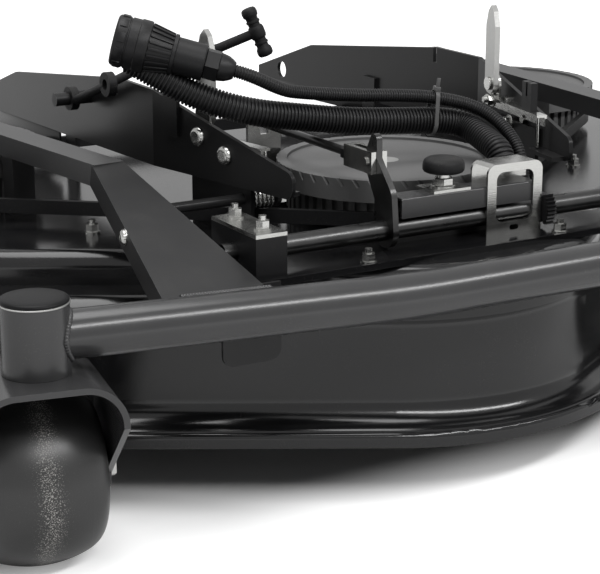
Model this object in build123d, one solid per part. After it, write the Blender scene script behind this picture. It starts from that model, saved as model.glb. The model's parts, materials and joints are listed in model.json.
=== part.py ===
"""Front mounted mower deck: pressed shell, tube frame on casters, three belt driven blades.

Millimetres, +Z up, +X to the machine's left as seen from the front, the front tube at -Y.
The origin is on the floor under the middle of the deck.
"""
import os
from math import atan2, cos, degrees, hypot, pi, radians, sin, tan

from build123d import *

# Overall layout
LENGTH = 1025.0
TUBE_D = 48.0
TUBE_AXIS_Z = 242.0
GAP = 0.3
SHAFT_PLAY = 0.05

# Front tube and caster pivots
TUBE_WALL = 3.0
TUBE_STRAIGHT_HALF = 150.0
TUBE_BEND_R = 520.0
PIVOT_X = 534.0
PIVOT_BACK = 64.0
HOUSING_D = 66.0
HOUSING_BELOW = 33.0
HOUSING_ABOVE = 36.0
STEM_R = 12.5
CAP_HEIGHT = 5.0
CAP_DOME_R = 2.0
STEM_TOP_ROOM = 3.0

# Caster fork and wheel
CASTER_YAW = 11.0
TRAIL = 45.0
WHEEL_R = 90.0
WHEEL_WIDTH = 128.0
WHEEL_SHOULDER_R = 52.0
WHEEL_CROWN_R = 82.0
WHEEL_CROWN_SHARE = 0.66
HUB_R = 22.0
AXLE_R = 8.0
AXLE_HEAD_R = 13.0
AXLE_HEAD_H = 8.0
FORK_SHEET = 6.0
FORK_CORNER_R = 42.0
FORK_SIDE_ROOM = 3.6
FORK_FRONT = 62.0
FORK_REAR = 62.0
FORK_KNEE_DROP = 44.0
FORK_EYE_R = 24.0

# Blade layout
SPINDLE_BACK = 291.0
SIDE_SPINDLE_X = 424.0
SIDE_SPINDLE_BACK = 638.5
BLADE_LENGTH = 470.0
BLADE_WIDTH = 62.0
BLADE_THICK = 6.0
BLADE_Z = 96.0
BLADE_LIFT = 14.0
BLADE_LIFT_LENGTH = 70.0
BLADE_BOLT_R = 16.0
BLADE_BOLT_H = 10.0

# Pressed shell
SHEET = 3.0
SHELL_TOP_Z = 250.0
SHELL_STEP_Z = 214.0
SHELL_SIDE_X = 420.0
SHELL_SHOULDER_BACK = 531.0
RIM_Z = 64.0
RIM_STEP = 16.0
WALL_R = 253.0
RIM_R = 290.0
UPPER_R = 190.0
RIM_EDGE_R = 6.0
COVE_R = 26.0
STEP_EDGE_R = 30.0
UPPER_EDGE_R = 18.0
NOSE_EDGE_R = 14.0
NOSE_INSET = 1.0

# Spindles, toothed pulleys and belt
SHAFT_R = 15.0
COLLAR_R = 26.0
HOUSING_FLANGE_R = 62.0
HOUSING_FLANGE_H = 8.0
SPINDLE_HUB_R = 36.0
SPINDLE_HUB_DROP = 60.0
HUB_HOLE_ROOM = 1.0
TOOTH_PITCH = 14.0
TOOTH_COUNT = 52
TOOTH_DEPTH = 5.5
TOOTH_SHARE = 0.52
TOOTH_BAND = 30.0
PULLEY_LIP = 11.5
PULLEY_CAP_H = 25.0
CAP_RING_DROP = 3.0
CAP_RING_W = 12.0
SCALLOP_COUNT = 44
SCALLOP_R = 5.0
SCALLOP_LEAN = 35.0
BELT_THICK = 7.0
BELT_ROOM = 0.5
BELT_WIDTH = 16.0
BELT_UP = 2.0

# Front cross plate, bearing blocks and height shaft
PLATE_T = 4.0
PLATE_FRONT = 76.0
PLATE_REAR = 156.0
PLATE_HALF = 292.0
PLATE_LIP_H = 3.0
BLOCK_X = 271.5
BLOCK_W = 36.0
BLOCK_L = 95.0
BLOCK_H = 46.0
BLOCK_TOP_T = 4.0
HEIGHT_SHAFT_R = 11.0
HEIGHT_SHAFT_BACK = 128.0
HEIGHT_SHAFT_OVER = 14.0
NUT_PITCH = 58.0
PLATE_NUTS_X = (-148.0, 103.0)
SHELL_NUT_X = 339.0
SHELL_NUT_BACK = 367.5
NUT_AF = 13.0
NUT_H = 8.0
NUT_FLANGE_R = 9.0
NUT_FLANGE_H = 2.0
STUD_R = 4.0
STUD_OVER = 5.0

# Height lever, clevis and push rod
LEVER_X = 104.0
LEVER_T = 7.0
LEVER_PIN_UP = 70.0
LEVER_PIN_BACK = 28.0
LEVER_W = 34.0
LEVER_BOW = 12.0
LEVER_HORN = 24.0
CLEVIS_LENGTH = 44.0
CLEVIS_H = 24.0
CLEVIS_CHEEK = 6.0
CLEVIS_PIN_R = 5.0
ROD_R = 5.0
ROD_END_BACK = 418.0
ROD_NUT_R = 9.5
GUIDE_T = 5.0
GUIDE_W = 44.0
GUIDE_BACK = 393.0
GUIDE_FOOT = 26.0
GUIDE_OVER = 12.0
GUIDE_SLOT_UP = 10.0
GUIDE_SLOT_DOWN = 12.5

# Guard channel, bumper and window bracket
GUARD_FRONT = 117.0
GUARD_DEPTH = 30.0
GUARD_LEFT = -92.0
GUARD_RIGHT = 84.0
GUARD_TOP_Z = 310.0
GUARD_FACE_H = 22.0
GUARD_T = 3.0
GUARD_EDGE_R = 2.5
ZINC_T = 3.0
BUMPER_PLATE_X = -27.0
BUMPER_PLATE_W = 48.0
BUMPER_PLATE_L = 36.0
BUMPER_R = 23.0
BUMPER_H = 16.0
BUMPER_NECK_R = 9.0
BUMPER_NECK_H = 16.0
WINDOW_X = 54.5
WINDOW_W = 74.0
WINDOW_FRAME = 12.0
WINDOW_SILL = 15.0
WINDOW_HEAD = 9.0
WINDOW_TOP_Z = 334.0
WINDOW_REACH = 30.0
WINDOW_R = 9.0
WINDOW_CORNER_R = 11.0
WINDOW_SLOT = 12.0
SECTOR_X = 98.5
SECTOR_W = 12.0
SECTOR_R = 26.0
SECTOR_HUB_R = 17.0
SECTOR_SPAN = 90.0
SECTOR_HEADING = 175.0
SECTOR_TEETH = 9
SECTOR_TOOTH = 3.0

# Arms of the tube frame
ARM_X = 352.0
ARM_W = 36.0
ARM_FOOT_W = 115.0
ARM_H = 24.0
ARM_T = 4.0
ARM_KINK_BACK = 294.0
ARM_KINK_Z = 345.0
ARM_FOOT_BACK = 36.0
ARM_FOOT_Z = 256.0
ARM_SPLAY = 6.0
ARM_FALL = 0.5
ARM_REAR_RUN = 512.0
ARM_EYE_R = 12.0
ARM_EYE_BOSS = 24.0
ARM_TAB_W = 66.0
ARM_TAB_H = 63.0
ARM_TAB_OUT = 22.0
ARM_TAB_R = 12.0
ARM_POST_RUN = 190.0
ARM_POST_L = 24.0

# Side plates that couple the deck to the machine
SIDE_X = 230.0
SIDE_T = 5.0
SIDE_BEND_BACK = 427.0
SIDE_NOSE_BACK = 183.0
SIDE_NOSE_X = 186.0
SIDE_NOSE_LOW = 306.0
SIDE_NOSE_TOP = 334.0
SIDE_NOSE_R = 12.0
SIDE_PEAK_Z = 392.0
SIDE_STEP_BACK = 845.0
SIDE_STEP_Z = 352.0
SIDE_NOTCH_BACK = 521.0
SIDE_NOTCH_W = 8.0
SIDE_NOTCH_D = 20.0
SIDE_REAR_LOW = 285.0
SIDE_BEND_LOW = 303.0
SIDE_FLANGE = 16.0
SIDE_HITCH_R = 12.5
SIDE_HITCH_BACK = 930.0
SIDE_HITCH_Z = 304.0
SIDE_TAIL_H = 16.0
COACH_HEAD_R = 11.0
COACH_HEAD_H = 6.0
COACH_R = 5.0
COACH_LOW_Z = 337.0
COACH_HIGH_Z = 351.0
COACH_LOW_S = 134.0
COACH_HIGH_S = 86.0
DECK_BRACKET_T = 5.0
DECK_BRACKET_FOOT = 34.0
FRONT_BRACKET_S0 = 66.0
FRONT_BRACKET_S1 = 172.0
FRONT_BRACKET_TOP = 332.0
BELT_WINDOW_S0 = 104.0
BELT_WINDOW_S1 = 142.0
BELT_WINDOW_TOP = 281.0
REAR_BRACKET_BACK = 664.0
REAR_BRACKET_L = 30.0
REAR_BRACKET_TOP = 330.0

# Latch on the inside of each side plate
LATCH_S0 = 46.0
LATCH_S1 = 190.0
LATCH_TOP_Z = 352.0
LATCH_FACE_H = 14.0
LATCH_LEDGE = 13.0
LATCH_PIVOT_S = 74.0
LATCH_PIVOT_Z = 372.0
LATCH_EAR_R = 13.0
LATCH_LEVER_T = 7.0
LATCH_LEVER_W = 25.0
LATCH_LEVER_TIP = 14.0
LATCH_LEVER_UP = 96.0
LATCH_PIN_R = 5.0
POST_S = 155.0
POST_W = 24.0
POST_H = 34.0
POST_SLOT_W = 4.0
POST_SLOT_D = 17.0
WIRE_R = 2.0
WIRE_DROP = 36.0

# Belt tensioner rod with its spring, on one side only
TENSION_BACK = 273.0
TENSION_Z = 291.0
TENSION_R = 6.0
TENSION_OUT = 300.0
TENSION_IN = 156.0
SPRING_COIL_R = 11.0
SPRING_WIRE_R = 2.2
SPRING_TURNS = 5
TENSION_NUT_R = 12.5
TENSION_NUT_H = 5.0

# Plug on its holder, strap and corrugated hoses
PLUG_MID = (-249.5, 333.5, 446.4)
PLUG_HEADING = -30.4
PLUG_DROP = 15.0
PLUG_COLLAR_R = 28.5
PLUG_COLLAR_L = 26.0
PLUG_RING_R = 29.5
PLUG_RING_L = 12.0
PLUG_TAPER_L = 28.0
PLUG_SLEEVE_R = 20.5
PLUG_SLEEVE_L = 36.0
PLUG_NUT_R = 18.0
PLUG_NUT_L = 21.0
PLUG_NUT_TIP_R = 11.0
PLUG_NUT_TIP_L = 13.0
PLUG_RIBS = 24
PLUG_RIB_R = 1.8
HOLDER_T = 5.0
HOLDER_S0 = 26.0
HOLDER_S1 = 52.0
HOLDER_LOW_Z = 345.0
HOLDER_TOP_Z = 460.0
HOLDER_ARM_R = 8.0
STRAP_R = 5.5
STRAP_EYE_R = 14.5
STRAP_EYE_W = 10.0
STRAP_T_R = 6.0
PEG_R = 8.0
PEG_LENGTH = 46.0
PEG_BACK = 606.0
PEG_Z = 356.0
THICK_HOSE_R = 15.5
THIN_HOSE_R = 7.5
GLAND_RUN = 18.0
ENTRY_H = 6.0
ENTRY_RIM = 2.5
THICK_ENTRY_X = 82.0
THICK_ENTRY_BACK = 165.5
THIN_ENTRY_X = 112.0
THIN_ENTRY_BACK = 172.5

TUBE_Y = -LENGTH / 2 + TUBE_D / 2
PIVOT_Y = TUBE_Y + PIVOT_BACK
THICK_ENTRY = (THICK_ENTRY_X, TUBE_Y + THICK_ENTRY_BACK)
THIN_ENTRY = (THIN_ENTRY_X, TUBE_Y + THIN_ENTRY_BACK)
FORK_TOP_Z = TUBE_AXIS_Z - HOUSING_BELOW - GAP
HOUSING_TOP_Z = TUBE_AXIS_Z + HOUSING_ABOVE
PULLEY_R = TOOTH_COUNT * TOOTH_PITCH / (2 * pi) - 0.4
CENTRE_Y = TUBE_Y + SPINDLE_BACK
SIDE_Y = TUBE_Y + SIDE_SPINDLE_BACK
HOUSING_SEAT_Z = SHELL_TOP_Z + HOUSING_FLANGE_H
PULLEY_LOW_Z = HOUSING_SEAT_Z + GAP
PULLEY_TOP_Z = PULLEY_LOW_Z + TOOTH_BAND + PULLEY_CAP_H
PLATE_TOP_Z = SHELL_TOP_Z + PLATE_T
BLOCK_TOP_Z = PLATE_TOP_Z + BLOCK_H
HEIGHT_SHAFT_Z = PLATE_TOP_Z + BLOCK_H / 2 - 1.5
HEIGHT_SHAFT_Y = TUBE_Y + HEIGHT_SHAFT_BACK
SIDE_TURN = degrees(atan2(SIDE_X - SIDE_NOSE_X, SIDE_BEND_BACK - SIDE_NOSE_BACK))
SIDE_FRONT_RUN = hypot(SIDE_X - SIDE_NOSE_X, SIDE_BEND_BACK - SIDE_NOSE_BACK)
SPINDLES = {
    "centre": (0.0, CENTRE_Y),
    "left": (-SIDE_SPINDLE_X, SIDE_Y),
    "right": (SIDE_SPINDLE_X, SIDE_Y),
}


def behind(distance):
    """Y of a place that far behind the axis of the front tube at the middle."""
    return TUBE_Y + distance


def mirrored(shape):
    """The same piece on the other side of the deck."""
    return mirror(shape, about=Plane.YZ)


def block(x0, x1, y0, y1, z0, z1):
    """A box between two corners."""
    size = Box(x1 - x0, y1 - y0, z1 - z0)
    return Pos((x0 + x1) / 2, (y0 + y1) / 2, (z0 + z1) / 2) * size


def rod(radius, start, end):
    """A round bar from one point to another."""
    a, b = Vector(*start), Vector(*end)
    plane = Plane(origin=a, z_dir=(b - a).normalized())
    return extrude(plane * Circle(radius), (b - a).length)


def upright(radius, x, y, z0, z1):
    """An upright round bar."""
    return Pos(x, y, z0) * extrude(Circle(radius), z1 - z0)


def top_edges(shape):
    """The outline of the highest face."""
    return shape.faces().sort_by(Axis.Z)[-1].outer_wire().edges()


def group(*solids):
    """Separate solids that share a node."""
    parts = []
    for item in solids:
        parts.extend(item.solids())
    return Compound(children=parts)


def both(shape):
    """A left piece and its mirror image, sharing a node."""
    return group(shape, mirrored(shape))


# Pressed shell

def deck_outline(radius):
    """Plan outline: a nose round the middle spindle, shoulders and a square rear, grown by a radius."""
    x, front, rear = SHELL_SIDE_X, behind(SHELL_SHOULDER_BACK), SIDE_Y
    places = [SPINDLES["centre"], (x, front), (x, rear), (-x, rear), (-x, front)]
    return offset(Polygon(*places, align=None), radius, kind=Kind.ARC)


def tier(radius, top_z, edge_r):
    """One pressed level of the shell, from the rim up, with a rounded top edge."""
    body = Pos(0, 0, RIM_Z) * extrude(deck_outline(radius), top_z - RIM_Z)
    return fillet(top_edges(body), edge_r)


def shell_form(inset):
    """The shell's outer form, or its inner form when inset by the sheet."""
    rim_top = RIM_Z + RIM_STEP - inset
    skirt = Pos(0, 0, RIM_Z) * extrude(deck_outline(RIM_R - inset), rim_top - RIM_Z)
    skirt = fillet(top_edges(skirt), RIM_EDGE_R - inset)
    form = skirt + tier(WALL_R - inset, SHELL_STEP_Z - inset, STEP_EDGE_R - inset)
    inner = [e for e in form.edges() if abs(e.center().Z - rim_top) < 0.01]
    cove = [e for e in inner if e.length > 1 and on_outline(e, WALL_R - inset)]
    form = fillet(cove, COVE_R + inset)
    form += tier(UPPER_R - inset, SHELL_TOP_Z - inset, UPPER_EDGE_R - inset)
    x, y = SPINDLES["centre"]
    nose = upright(WALL_R - NOSE_INSET - inset, x, y, RIM_Z, SHELL_TOP_Z - inset)
    return form + fillet(top_edges(nose), NOSE_EDGE_R - inset)


def on_outline(edge, radius):
    """True for an edge that runs along the plan outline of that radius."""
    point = Vector(edge.position_at(0.5).X, edge.position_at(0.5).Y, 0)
    outline = deck_outline(radius).wire()
    return outline.distance_to(point) < 0.1


def deck_shell():
    """The pressed steel shell, open below, with a hole for each spindle."""
    shell = shell_form(0) - shell_form(SHEET)
    for x, y in SPINDLES.values():
        hole = SPINDLE_HUB_R + HUB_HOLE_ROOM
        shell -= upright(hole, x, y, SHELL_TOP_Z - 2 * SHEET, SHELL_TOP_Z + SHEET)
    return shell


# Spindles, blades, pulleys and belt

def spindle_housing(x, y):
    """Cast bearing housing: a flange on the shell and a hub through its hole."""
    low = SHELL_TOP_Z - SPINDLE_HUB_DROP
    hub = upright(SPINDLE_HUB_R, x, y, low, HOUSING_SEAT_Z)
    flange = upright(HOUSING_FLANGE_R, x, y, SHELL_TOP_Z, HOUSING_SEAT_Z)
    bore = upright(SHAFT_R + SHAFT_PLAY, x, y, low - 1, HOUSING_SEAT_Z + 1)
    return hub + flange - bore


def spindle_shaft(name):
    """Shaft with the blade carrier below the housing."""
    x, y = SPINDLES[name]
    low = SHELL_TOP_Z - SPINDLE_HUB_DROP - GAP
    shaft = upright(SHAFT_R, x, y, BLADE_Z + BLADE_THICK, PULLEY_TOP_Z - CAP_RING_DROP)
    return shaft + upright(COLLAR_R, x, y, BLADE_Z + BLADE_THICK, low)


def tooth_ring(x, y):
    """Toothed band: round bars of the pitch cut out of the rim, in one pattern."""
    band = upright(PULLEY_R, x, y, PULLEY_LOW_Z, PULLEY_LOW_Z + TOOTH_BAND)
    gap_w = TOOTH_PITCH * (1 - TOOTH_SHARE)
    cut = Pos(PULLEY_R, 0) * Rectangle(2 * TOOTH_DEPTH, gap_w)
    gaps = Sketch() + [loc * cut for loc in PolarLocations(0, TOOTH_COUNT)]
    return band - Pos(x, y, PULLEY_LOW_Z) * extrude(gaps, TOOTH_BAND)


def pulley(name):
    """Toothed pulley under a broad cap with a scalloped edge and a sunk face."""
    x, y = SPINDLES[name]
    low = PULLEY_LOW_Z + TOOTH_BAND
    top = PULLEY_TOP_Z
    cap_r = PULLEY_R + PULLEY_LIP
    cap = upright(cap_r, x, y, low, top)
    cap -= upright(cap_r - CAP_RING_W, x, y, top - CAP_RING_DROP, top + 1)
    notch = Rot(SCALLOP_LEAN, 0, 0) * Cylinder(SCALLOP_R / 2, 4 * SCALLOP_R)
    spots = PolarLocations(cap_r, SCALLOP_COUNT)
    notches = [Pos(x, y, top) * loc * Pos(SCALLOP_R / 4, 0, 0) * notch for loc in spots]
    keep = upright(cap_r + SCALLOP_R, x, y, low - SCALLOP_R, top - 2 * SCALLOP_R)
    cap -= [n - keep for n in notches]
    whole = cap + tooth_ring(x, y)
    return whole - upright(SHAFT_R, x, y, PULLEY_LOW_Z - 1, top - CAP_RING_DROP)


def blade(name):
    """Flat blade with lifted tips, on its bolt."""
    x, y = SPINDLES[name]
    half = BLADE_LENGTH / 2
    flat = half - BLADE_LIFT_LENGTH
    profile = Polyline(
        (-half, BLADE_LIFT), (-flat, 0), (flat, 0), (half, BLADE_LIFT),
        (half, BLADE_LIFT + BLADE_THICK), (flat, BLADE_THICK),
        (-flat, BLADE_THICK), (-half, BLADE_LIFT + BLADE_THICK), close=True,
    )
    bar = extrude(Plane.XZ * make_face(profile), BLADE_WIDTH / 2, both=True)
    reach = upright(half, 0, 0, -BLADE_THICK, BLADE_LIFT + 2 * BLADE_THICK)
    bolt = upright(BLADE_BOLT_R, 0, 0, -BLADE_BOLT_H, 0)
    return Pos(x, y, BLADE_Z) * ((bar & reach) + bolt)


def belt_line(radius):
    """Plan of the loop round the three spindles at a radius."""
    corners = Polygon(*[SPINDLES[n] for n in ("centre", "right", "left")], align=None)
    return offset(corners, radius, kind=Kind.ARC)


def drive_belt():
    """Flat loop round the three pulleys."""
    inner = PULLEY_R + BELT_ROOM
    loop = belt_line(inner + BELT_THICK) - belt_line(inner)
    return Pos(0, 0, PULLEY_LOW_Z + BELT_UP) * extrude(loop, BELT_WIDTH)


# Tube frame and casters

def tube_path(radius):
    """Straight middle, one gentle bend on each side, ends at the pivots."""
    half = TUBE_STRAIGHT_HALF
    points = [(-PIVOT_X, PIVOT_Y), (-half, TUBE_Y), (half, TUBE_Y), (PIVOT_X, PIVOT_Y)]
    places = [(x, y, TUBE_AXIS_Z) for x, y in points]
    return FilletPolyline(*places, radius=radius)


def tube_solid(radius):
    """A round bar along the front tube's path."""
    path = tube_path(TUBE_BEND_R)
    start = Plane(origin=path @ 0, z_dir=path % 0)
    return sweep(start * Circle(radius), path=path)


def front_tube():
    """Front tube, cut to the round of the two pivot housings."""
    tube = tube_solid(TUBE_D / 2) - tube_solid(TUBE_D / 2 - TUBE_WALL)
    for side in (-1, 1):
        tube -= upright(
            HOUSING_D / 2, side * PIVOT_X, PIVOT_Y, TUBE_AXIS_Z - TUBE_D, TUBE_AXIS_Z + TUBE_D
        )
    return tube


def pivot_housing():
    """Upright bush that the caster stem turns in, on the left."""
    low = TUBE_AXIS_Z - HOUSING_BELOW
    outer = upright(HOUSING_D / 2, -PIVOT_X, PIVOT_Y, low, HOUSING_TOP_Z)
    bore = upright(STEM_R + SHAFT_PLAY, -PIVOT_X, PIVOT_Y, low - 1, HOUSING_TOP_Z + 1)
    return outer - bore


def pivot_cap():
    """Moulded cap on the housing."""
    cap = upright(HOUSING_D / 2, -PIVOT_X, PIVOT_Y, HOUSING_TOP_Z, HOUSING_TOP_Z + CAP_HEIGHT)
    return fillet(top_edges(cap), CAP_DOME_R)


def at_caster(shape):
    """From the caster's own frame, stem on Z, to its place on the left."""
    return Pos(-PIVOT_X, PIVOT_Y, 0) * Rot(0, 0, -CASTER_YAW) * shape


def fork_outline(half, top, corner):
    """Front view of the arch: straight legs under a round shouldered top."""
    low = WHEEL_R - FORK_EYE_R - 1
    legs = Pos(0, (top + low) / 2) * Rectangle(2 * half, top - low)
    return fillet(legs.vertices().group_by(Axis.Y)[-1], corner)


def caster_fork():
    """Arch of bent plate with a stem on top, and an eye for the axle in each leg."""
    inner = WHEEL_WIDTH / 2 + FORK_SIDE_ROOM
    outer = fork_outline(inner + FORK_SHEET, FORK_TOP_Z, FORK_CORNER_R)
    gap = fork_outline(inner, FORK_TOP_Z - FORK_SHEET, FORK_CORNER_R - FORK_SHEET)
    arch = extrude(Plane.XZ * (outer - gap), 2 * WHEEL_R, both=True)
    knee = FORK_TOP_Z - FORK_KNEE_DROP
    top = FORK_TOP_Z + 1
    leg = Polygon(
        (-FORK_FRONT, top), (-FORK_FRONT, knee), (TRAIL - FORK_EYE_R, WHEEL_R),
        (TRAIL + FORK_EYE_R, WHEEL_R), (FORK_REAR, knee), (FORK_REAR, top), align=None,
    )
    side = leg + Pos(TRAIL, WHEEL_R) * Circle(FORK_EYE_R)
    side -= Pos(TRAIL, WHEEL_R) * Circle(AXLE_R)
    arch &= extrude(Plane.YZ * side, 2 * WHEEL_R, both=True)
    stem_top = HOUSING_TOP_Z - STEM_TOP_ROOM
    return at_caster(arch + upright(STEM_R, 0, 0, FORK_TOP_Z - 1, stem_top))


def caster_axle():
    """Bolt through the legs, a head at one end and a nut at the other."""
    half = WHEEL_WIDTH / 2 + FORK_SIDE_ROOM + FORK_SHEET
    bar = rod(AXLE_R, (-half, TRAIL, WHEEL_R), (half, TRAIL, WHEEL_R))
    for side in (-1, 1):
        ends = (side * half, TRAIL, WHEEL_R), (side * (half + AXLE_HEAD_H), TRAIL, WHEEL_R)
        plane = Plane(origin=ends[0], z_dir=(side, 0, 0))
        bar += extrude(plane * RegularPolygon(AXLE_HEAD_R, 6), AXLE_HEAD_H)
    return at_caster(bar)


def at_axle(profile):
    """Turn a profile of radius and width about the wheel's axle."""
    turned = revolve(Plane.XY * profile, Axis.X)
    return at_caster(Pos(0, TRAIL, WHEEL_R) * turned)


def caster_tyre():
    """Broad tyre with a crowned tread and round shoulders."""
    half = WHEEL_WIDTH / 2
    wide = half * WHEEL_CROWN_SHARE
    tread = ThreePointArc((-wide, WHEEL_CROWN_R), (0, WHEEL_R), (wide, WHEEL_CROWN_R))
    right = Spline(tread @ 1, (half, WHEEL_SHOULDER_R), tangents=[tread % 1, (0, -1)])
    left = mirror(right, about=Plane.YZ)
    sides = Polyline((half, WHEEL_SHOULDER_R), (half, HUB_R), (-half, HUB_R), (-half, WHEEL_SHOULDER_R))
    return at_axle(make_face([tread, right, left, sides]))


def caster_hub():
    """Hub sleeve that runs on the axle."""
    half = WHEEL_WIDTH / 2 + FORK_SIDE_ROOM - GAP
    sleeve = Pos(0, (HUB_R + AXLE_R + SHAFT_PLAY) / 2) * Rectangle(2 * half, HUB_R - AXLE_R - SHAFT_PLAY)
    return at_axle(sleeve)


def arm_frame():
    """Frame of the rear part of the left arm, from its kink."""
    return Pos(-ARM_X, behind(ARM_KINK_BACK), ARM_KINK_Z) * Rot(0, 0, ARM_SPLAY) * Rot(-ARM_FALL, 0, 0)


def arm():
    """Folded arm: a broad sloping foot on the tube, a kink, and a splayed channel to the rear."""
    foot_y, kink_y = behind(ARM_FOOT_BACK), behind(ARM_KINK_BACK)
    rise = ARM_KINK_Z - ARM_FOOT_Z
    run = hypot(kink_y - foot_y, rise)
    slope = Plane(
        origin=(-ARM_X, foot_y, ARM_FOOT_Z), x_dir=(1, 0, 0), z_dir=(0, -rise, kink_y - foot_y)
    )
    lead = TUBE_D / 8
    grow = (ARM_FOOT_W - ARM_W) / 2 / run * lead
    wide, slim = ARM_FOOT_W / 2 + grow, ARM_W / 2

    def wedge(inset, over):
        return Polygon(
            (-wide + inset, -lead), (wide - inset, -lead),
            (slim - inset, run + over), (-slim + inset, run + over), align=None,
        )

    front = extrude(slope * wedge(0, 0), -ARM_H)
    front -= slope * Pos(0, 0, -ARM_T) * extrude(wedge(ARM_T, ARM_T), -ARM_H)
    rear = block(-slim, slim, -ARM_T, ARM_REAR_RUN, -ARM_H, 0)
    rear -= block(-slim + ARM_T, slim - ARM_T, -2 * ARM_T, ARM_REAR_RUN + 1, -ARM_H - 1, -ARM_T)
    eye_x = slim - ARM_T
    eye = rod(ARM_EYE_BOSS, (-eye_x, ARM_REAR_RUN, -ARM_EYE_BOSS), (eye_x, ARM_REAR_RUN, -ARM_EYE_BOSS))
    hole = rod(ARM_EYE_R, (-slim - 1, ARM_REAR_RUN, -ARM_EYE_BOSS), (slim + 1, ARM_REAR_RUN, -ARM_EYE_BOSS))
    tab_x = -ARM_X + ARM_FOOT_W / 2 - ARM_TAB_W + ARM_TAB_OUT
    tab_y = foot_y + TUBE_D / 2
    tab = block(tab_x, tab_x + ARM_TAB_W, tab_y, tab_y + ARM_T, TUBE_AXIS_Z - ARM_TAB_H, ARM_FOOT_Z + ARM_T)
    tab = fillet(tab.edges().filter_by(Axis.Y).group_by(Axis.Z)[0], ARM_TAB_R)
    whole = front + arm_frame() * (rear + eye - hole) + tab
    return whole - tube_solid(TUBE_D / 2)


def arm_post():
    """Post between the shell and the underside of the arm, inside its channel."""
    half = ARM_W / 2 - ARM_T
    low = SHELL_TOP_Z - ARM_KINK_Z - TUBE_D
    post = block(-half, half, ARM_POST_RUN, ARM_POST_RUN + ARM_POST_L, low, -ARM_T)
    above = block(-LENGTH, LENGTH, -LENGTH, LENGTH, SHELL_TOP_Z, 2 * SHELL_TOP_Z)
    return arm_frame() * post & above


# Front cross plate, bearing blocks and height shaft

def cross_plate():
    """Flat cross plate on the shell with a raised lip along its front edge."""
    y0, y1 = behind(PLATE_FRONT), behind(PLATE_REAR)
    plate = block(-PLATE_HALF, PLATE_HALF, y0, y1, SHELL_TOP_Z, PLATE_TOP_Z)
    lip = block(-PLATE_HALF, PLATE_HALF, y0, y0 + PLATE_T, PLATE_TOP_Z, PLATE_TOP_Z + PLATE_LIP_H)
    x, y = SPINDLES["centre"]
    room = upright(HOUSING_FLANGE_R + GAP, x, y, SHELL_TOP_Z - 1, PLATE_TOP_Z + 1)
    hose = upright(THICK_HOSE_R + ENTRY_RIM + GAP, *THICK_ENTRY, SHELL_TOP_Z - 1, PLATE_TOP_Z + 1)
    return plate + lip - room - hose


def bearing_block(side):
    """Block that the height shaft turns in."""
    x = side * BLOCK_X
    half, length = BLOCK_W / 2, BLOCK_L / 2
    y = HEIGHT_SHAFT_Y
    body = block(x - half, x + half, y - length, y + length, PLATE_TOP_Z, BLOCK_TOP_Z)
    ends = (x - BLOCK_W, y, HEIGHT_SHAFT_Z), (x + BLOCK_W, y, HEIGHT_SHAFT_Z)
    return body - rod(HEIGHT_SHAFT_R + SHAFT_PLAY, *ends)


def bearing_plates():
    """Zinc plate on each block."""
    plates = []
    for side in (-1, 1):
        x, half, length = side * BLOCK_X, BLOCK_W / 2, BLOCK_L / 2
        y = HEIGHT_SHAFT_Y
        plates.append(block(
            x - half, x + half, y - length, y + length, BLOCK_TOP_Z, BLOCK_TOP_Z + BLOCK_TOP_T
        ))
    return group(*plates)


def flange_nut(x, y, z):
    """Flange nut on the end of its stud, standing on a face."""
    nut = upright(NUT_FLANGE_R, x, y, z, z + NUT_FLANGE_H)
    hexagon = RegularPolygon(NUT_AF / 2, 6, major_radius=False)
    nut += Pos(x, y, z + NUT_FLANGE_H) * extrude(hexagon, NUT_H)
    return nut + upright(STUD_R, x, y, z + NUT_FLANGE_H + NUT_H, z + NUT_FLANGE_H + NUT_H + STUD_OVER)


def flange_nuts():
    """All the flange nuts on top of the deck."""
    nuts = []
    for side in (-1, 1):
        for along in (-0.5, 0.5):
            y = HEIGHT_SHAFT_Y + along * NUT_PITCH
            nuts.append(flange_nut(side * BLOCK_X, y, BLOCK_TOP_Z + BLOCK_TOP_T))
    plate_nut_y = behind(PLATE_FRONT) + 2 * NUT_FLANGE_R
    for x in PLATE_NUTS_X:
        nuts.append(flange_nut(x, plate_nut_y, PLATE_TOP_Z))
    for side in (-1, 1):
        nuts.append(flange_nut(side * SHELL_NUT_X, behind(SHELL_NUT_BACK), SHELL_TOP_Z))
    return group(*nuts)


def height_shaft():
    """Cross shaft with its height lever welded on."""
    half = BLOCK_X + BLOCK_W / 2 + HEIGHT_SHAFT_OVER
    y, z = HEIGHT_SHAFT_Y, HEIGHT_SHAFT_Z
    shaft = rod(HEIGHT_SHAFT_R, (-half, y, z), (half, y, z))
    pin = (LEVER_PIN_BACK, LEVER_PIN_UP)
    mid = (LEVER_PIN_BACK / 2 - LEVER_BOW, LEVER_PIN_UP / 2)
    horn = (LEVER_PIN_BACK - LEVER_BOW / 2, LEVER_PIN_UP + LEVER_HORN)
    root_r, tip_r = LEVER_W / 2 + 2, LEVER_W / 2 - 4
    stops = [((0, 0), root_r), (mid, LEVER_W / 2), (pin, tip_r), (horn, tip_r / 2)]
    plate = Sketch()
    for (a, ra), (b, rb) in zip(stops, stops[1:]):
        rings = [*(Pos(*a) * Circle(ra)).edges(), *(Pos(*b) * Circle(rb)).edges()]
        plate += make_hull(rings)
    plate -= Pos(*pin) * Circle(CLEVIS_PIN_R + SHAFT_PLAY)
    face = Plane(origin=(-LEVER_X - LEVER_T / 2, y, z), x_dir=(0, 1, 0), z_dir=(1, 0, 0))
    return shaft + extrude(face * plate, LEVER_T)


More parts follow.
